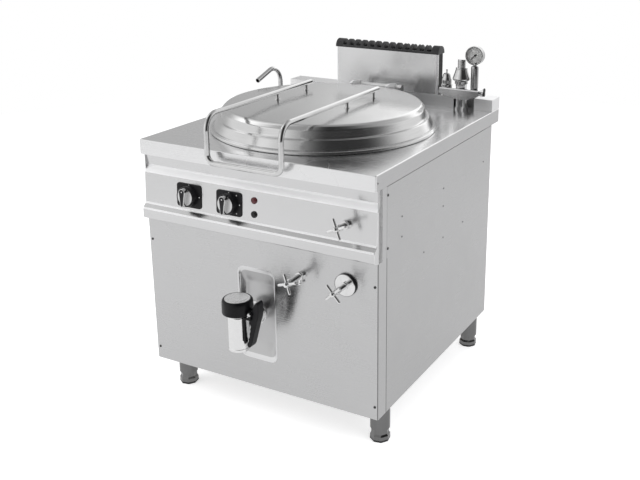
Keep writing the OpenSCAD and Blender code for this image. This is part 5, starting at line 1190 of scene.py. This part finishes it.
gauge_clear, glass_tree, glass_shader, glass_place = bare_material("gauge_clear", 0.04, 0.0, (1, 1, 1))
glass_shader.inputs["Transmission Weight"].default_value = 1.0
glass_shader.inputs["IOR"].default_value = 1.12
wire(glass_tree, remap(glass_tree, noise(glass_tree, glass_place, 40.0), 0.4, 0.7, 0.02, 0.08),
     glass_shader.inputs["Roughness"])
glass = turned(eased([(28.9, 21.5), (28.9, 23.2), (27, 23.6), (1, 23.6)], [0.4, 1]), 64)
set_out(joined(glass, place=gauge_place), "gauge_window", gauge_clear, "cabinet", "gauge_clear", "gauge_glass")

# Purge lever: a small lever of black moulded plastic with a hooked top, fixed on the stem of the
# purge cock
purge_black = dark_finish("purge_black", (0.014, 0.014, 0.014), 0.35, 300, 0.1, (0.05, 0.05, 0.05))
low, high = (v * 1000 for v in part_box("purge_lever"))
mid_y, foot_z = (low.y + high.y) / 2, low.z + 7
hook = [(-7, -4), (-4, -7), (2, -7), (6, -2), (5, 6), (7, 12), (6, 18), (1, 21), (-4, 19), (-5, 12), (-7, 4)]
purge = prism([(mid_y + u * 0.9, foot_z + v) for u, v in hook], low.x + 0.3, high.x - 0.3,
              turn=lambda u, v, w: (w, u + 450, v))
broken(purge, 1.2, 2)
set_out(purge, "purge_handle", purge_black, "purge_lever", "purge_black", "purge_lever")

# Feet: a steel sleeve under each corner of the frame, and a screwed eight-sided pad with a dark
# rim. Sleeve and pad get a dark grey steel: painted shade under the cabinet.
# The dark grey of this steel is painted shade under the cabinet
foot_steel = polished("foot_steel", 0.21, 0.16, (200, 200, 12))
dress("foot_sleeves", 0.8, "leg_sleeves", foot_steel, "cabinet", "foot_steel")
foot_black = dark_finish("foot_black", (0.012, 0.012, 0.013), 0.4, 300, 0.2, (0.05, 0.05, 0.05), shine=0.3)
foot_half, foot_front, foot_back, pad_turn = 358, 109, 791, 33.5
pads, rims = [], []
for foot_x in (-foot_half, foot_half):
    for foot_y in (foot_front, foot_back):
        pad = turned([(8, 60), (8, 41), (26.5, 41), (26.5, 24), (30.2, 18), (30.6, 7)], 8, (True, False))
        rim = turned([(30.8, 7), (30.8, 3), (28.5, 0), (2, 0)], 8)
        for piece, row in ((pad, pads), (rim, rims)):
            piece.rotation_euler.z = radians(pad_turn)
            piece.location = at(foot_x, foot_y, 0)
            row.append(piece)
set_out(joined(*pads), "levelling_pads", foot_steel, "cabinet", "foot_steel", "foot_pads", smooth=10)
set_out(joined(*rims), "levelling_pad_rims", foot_black, "cabinet", "foot_black", smooth=10)
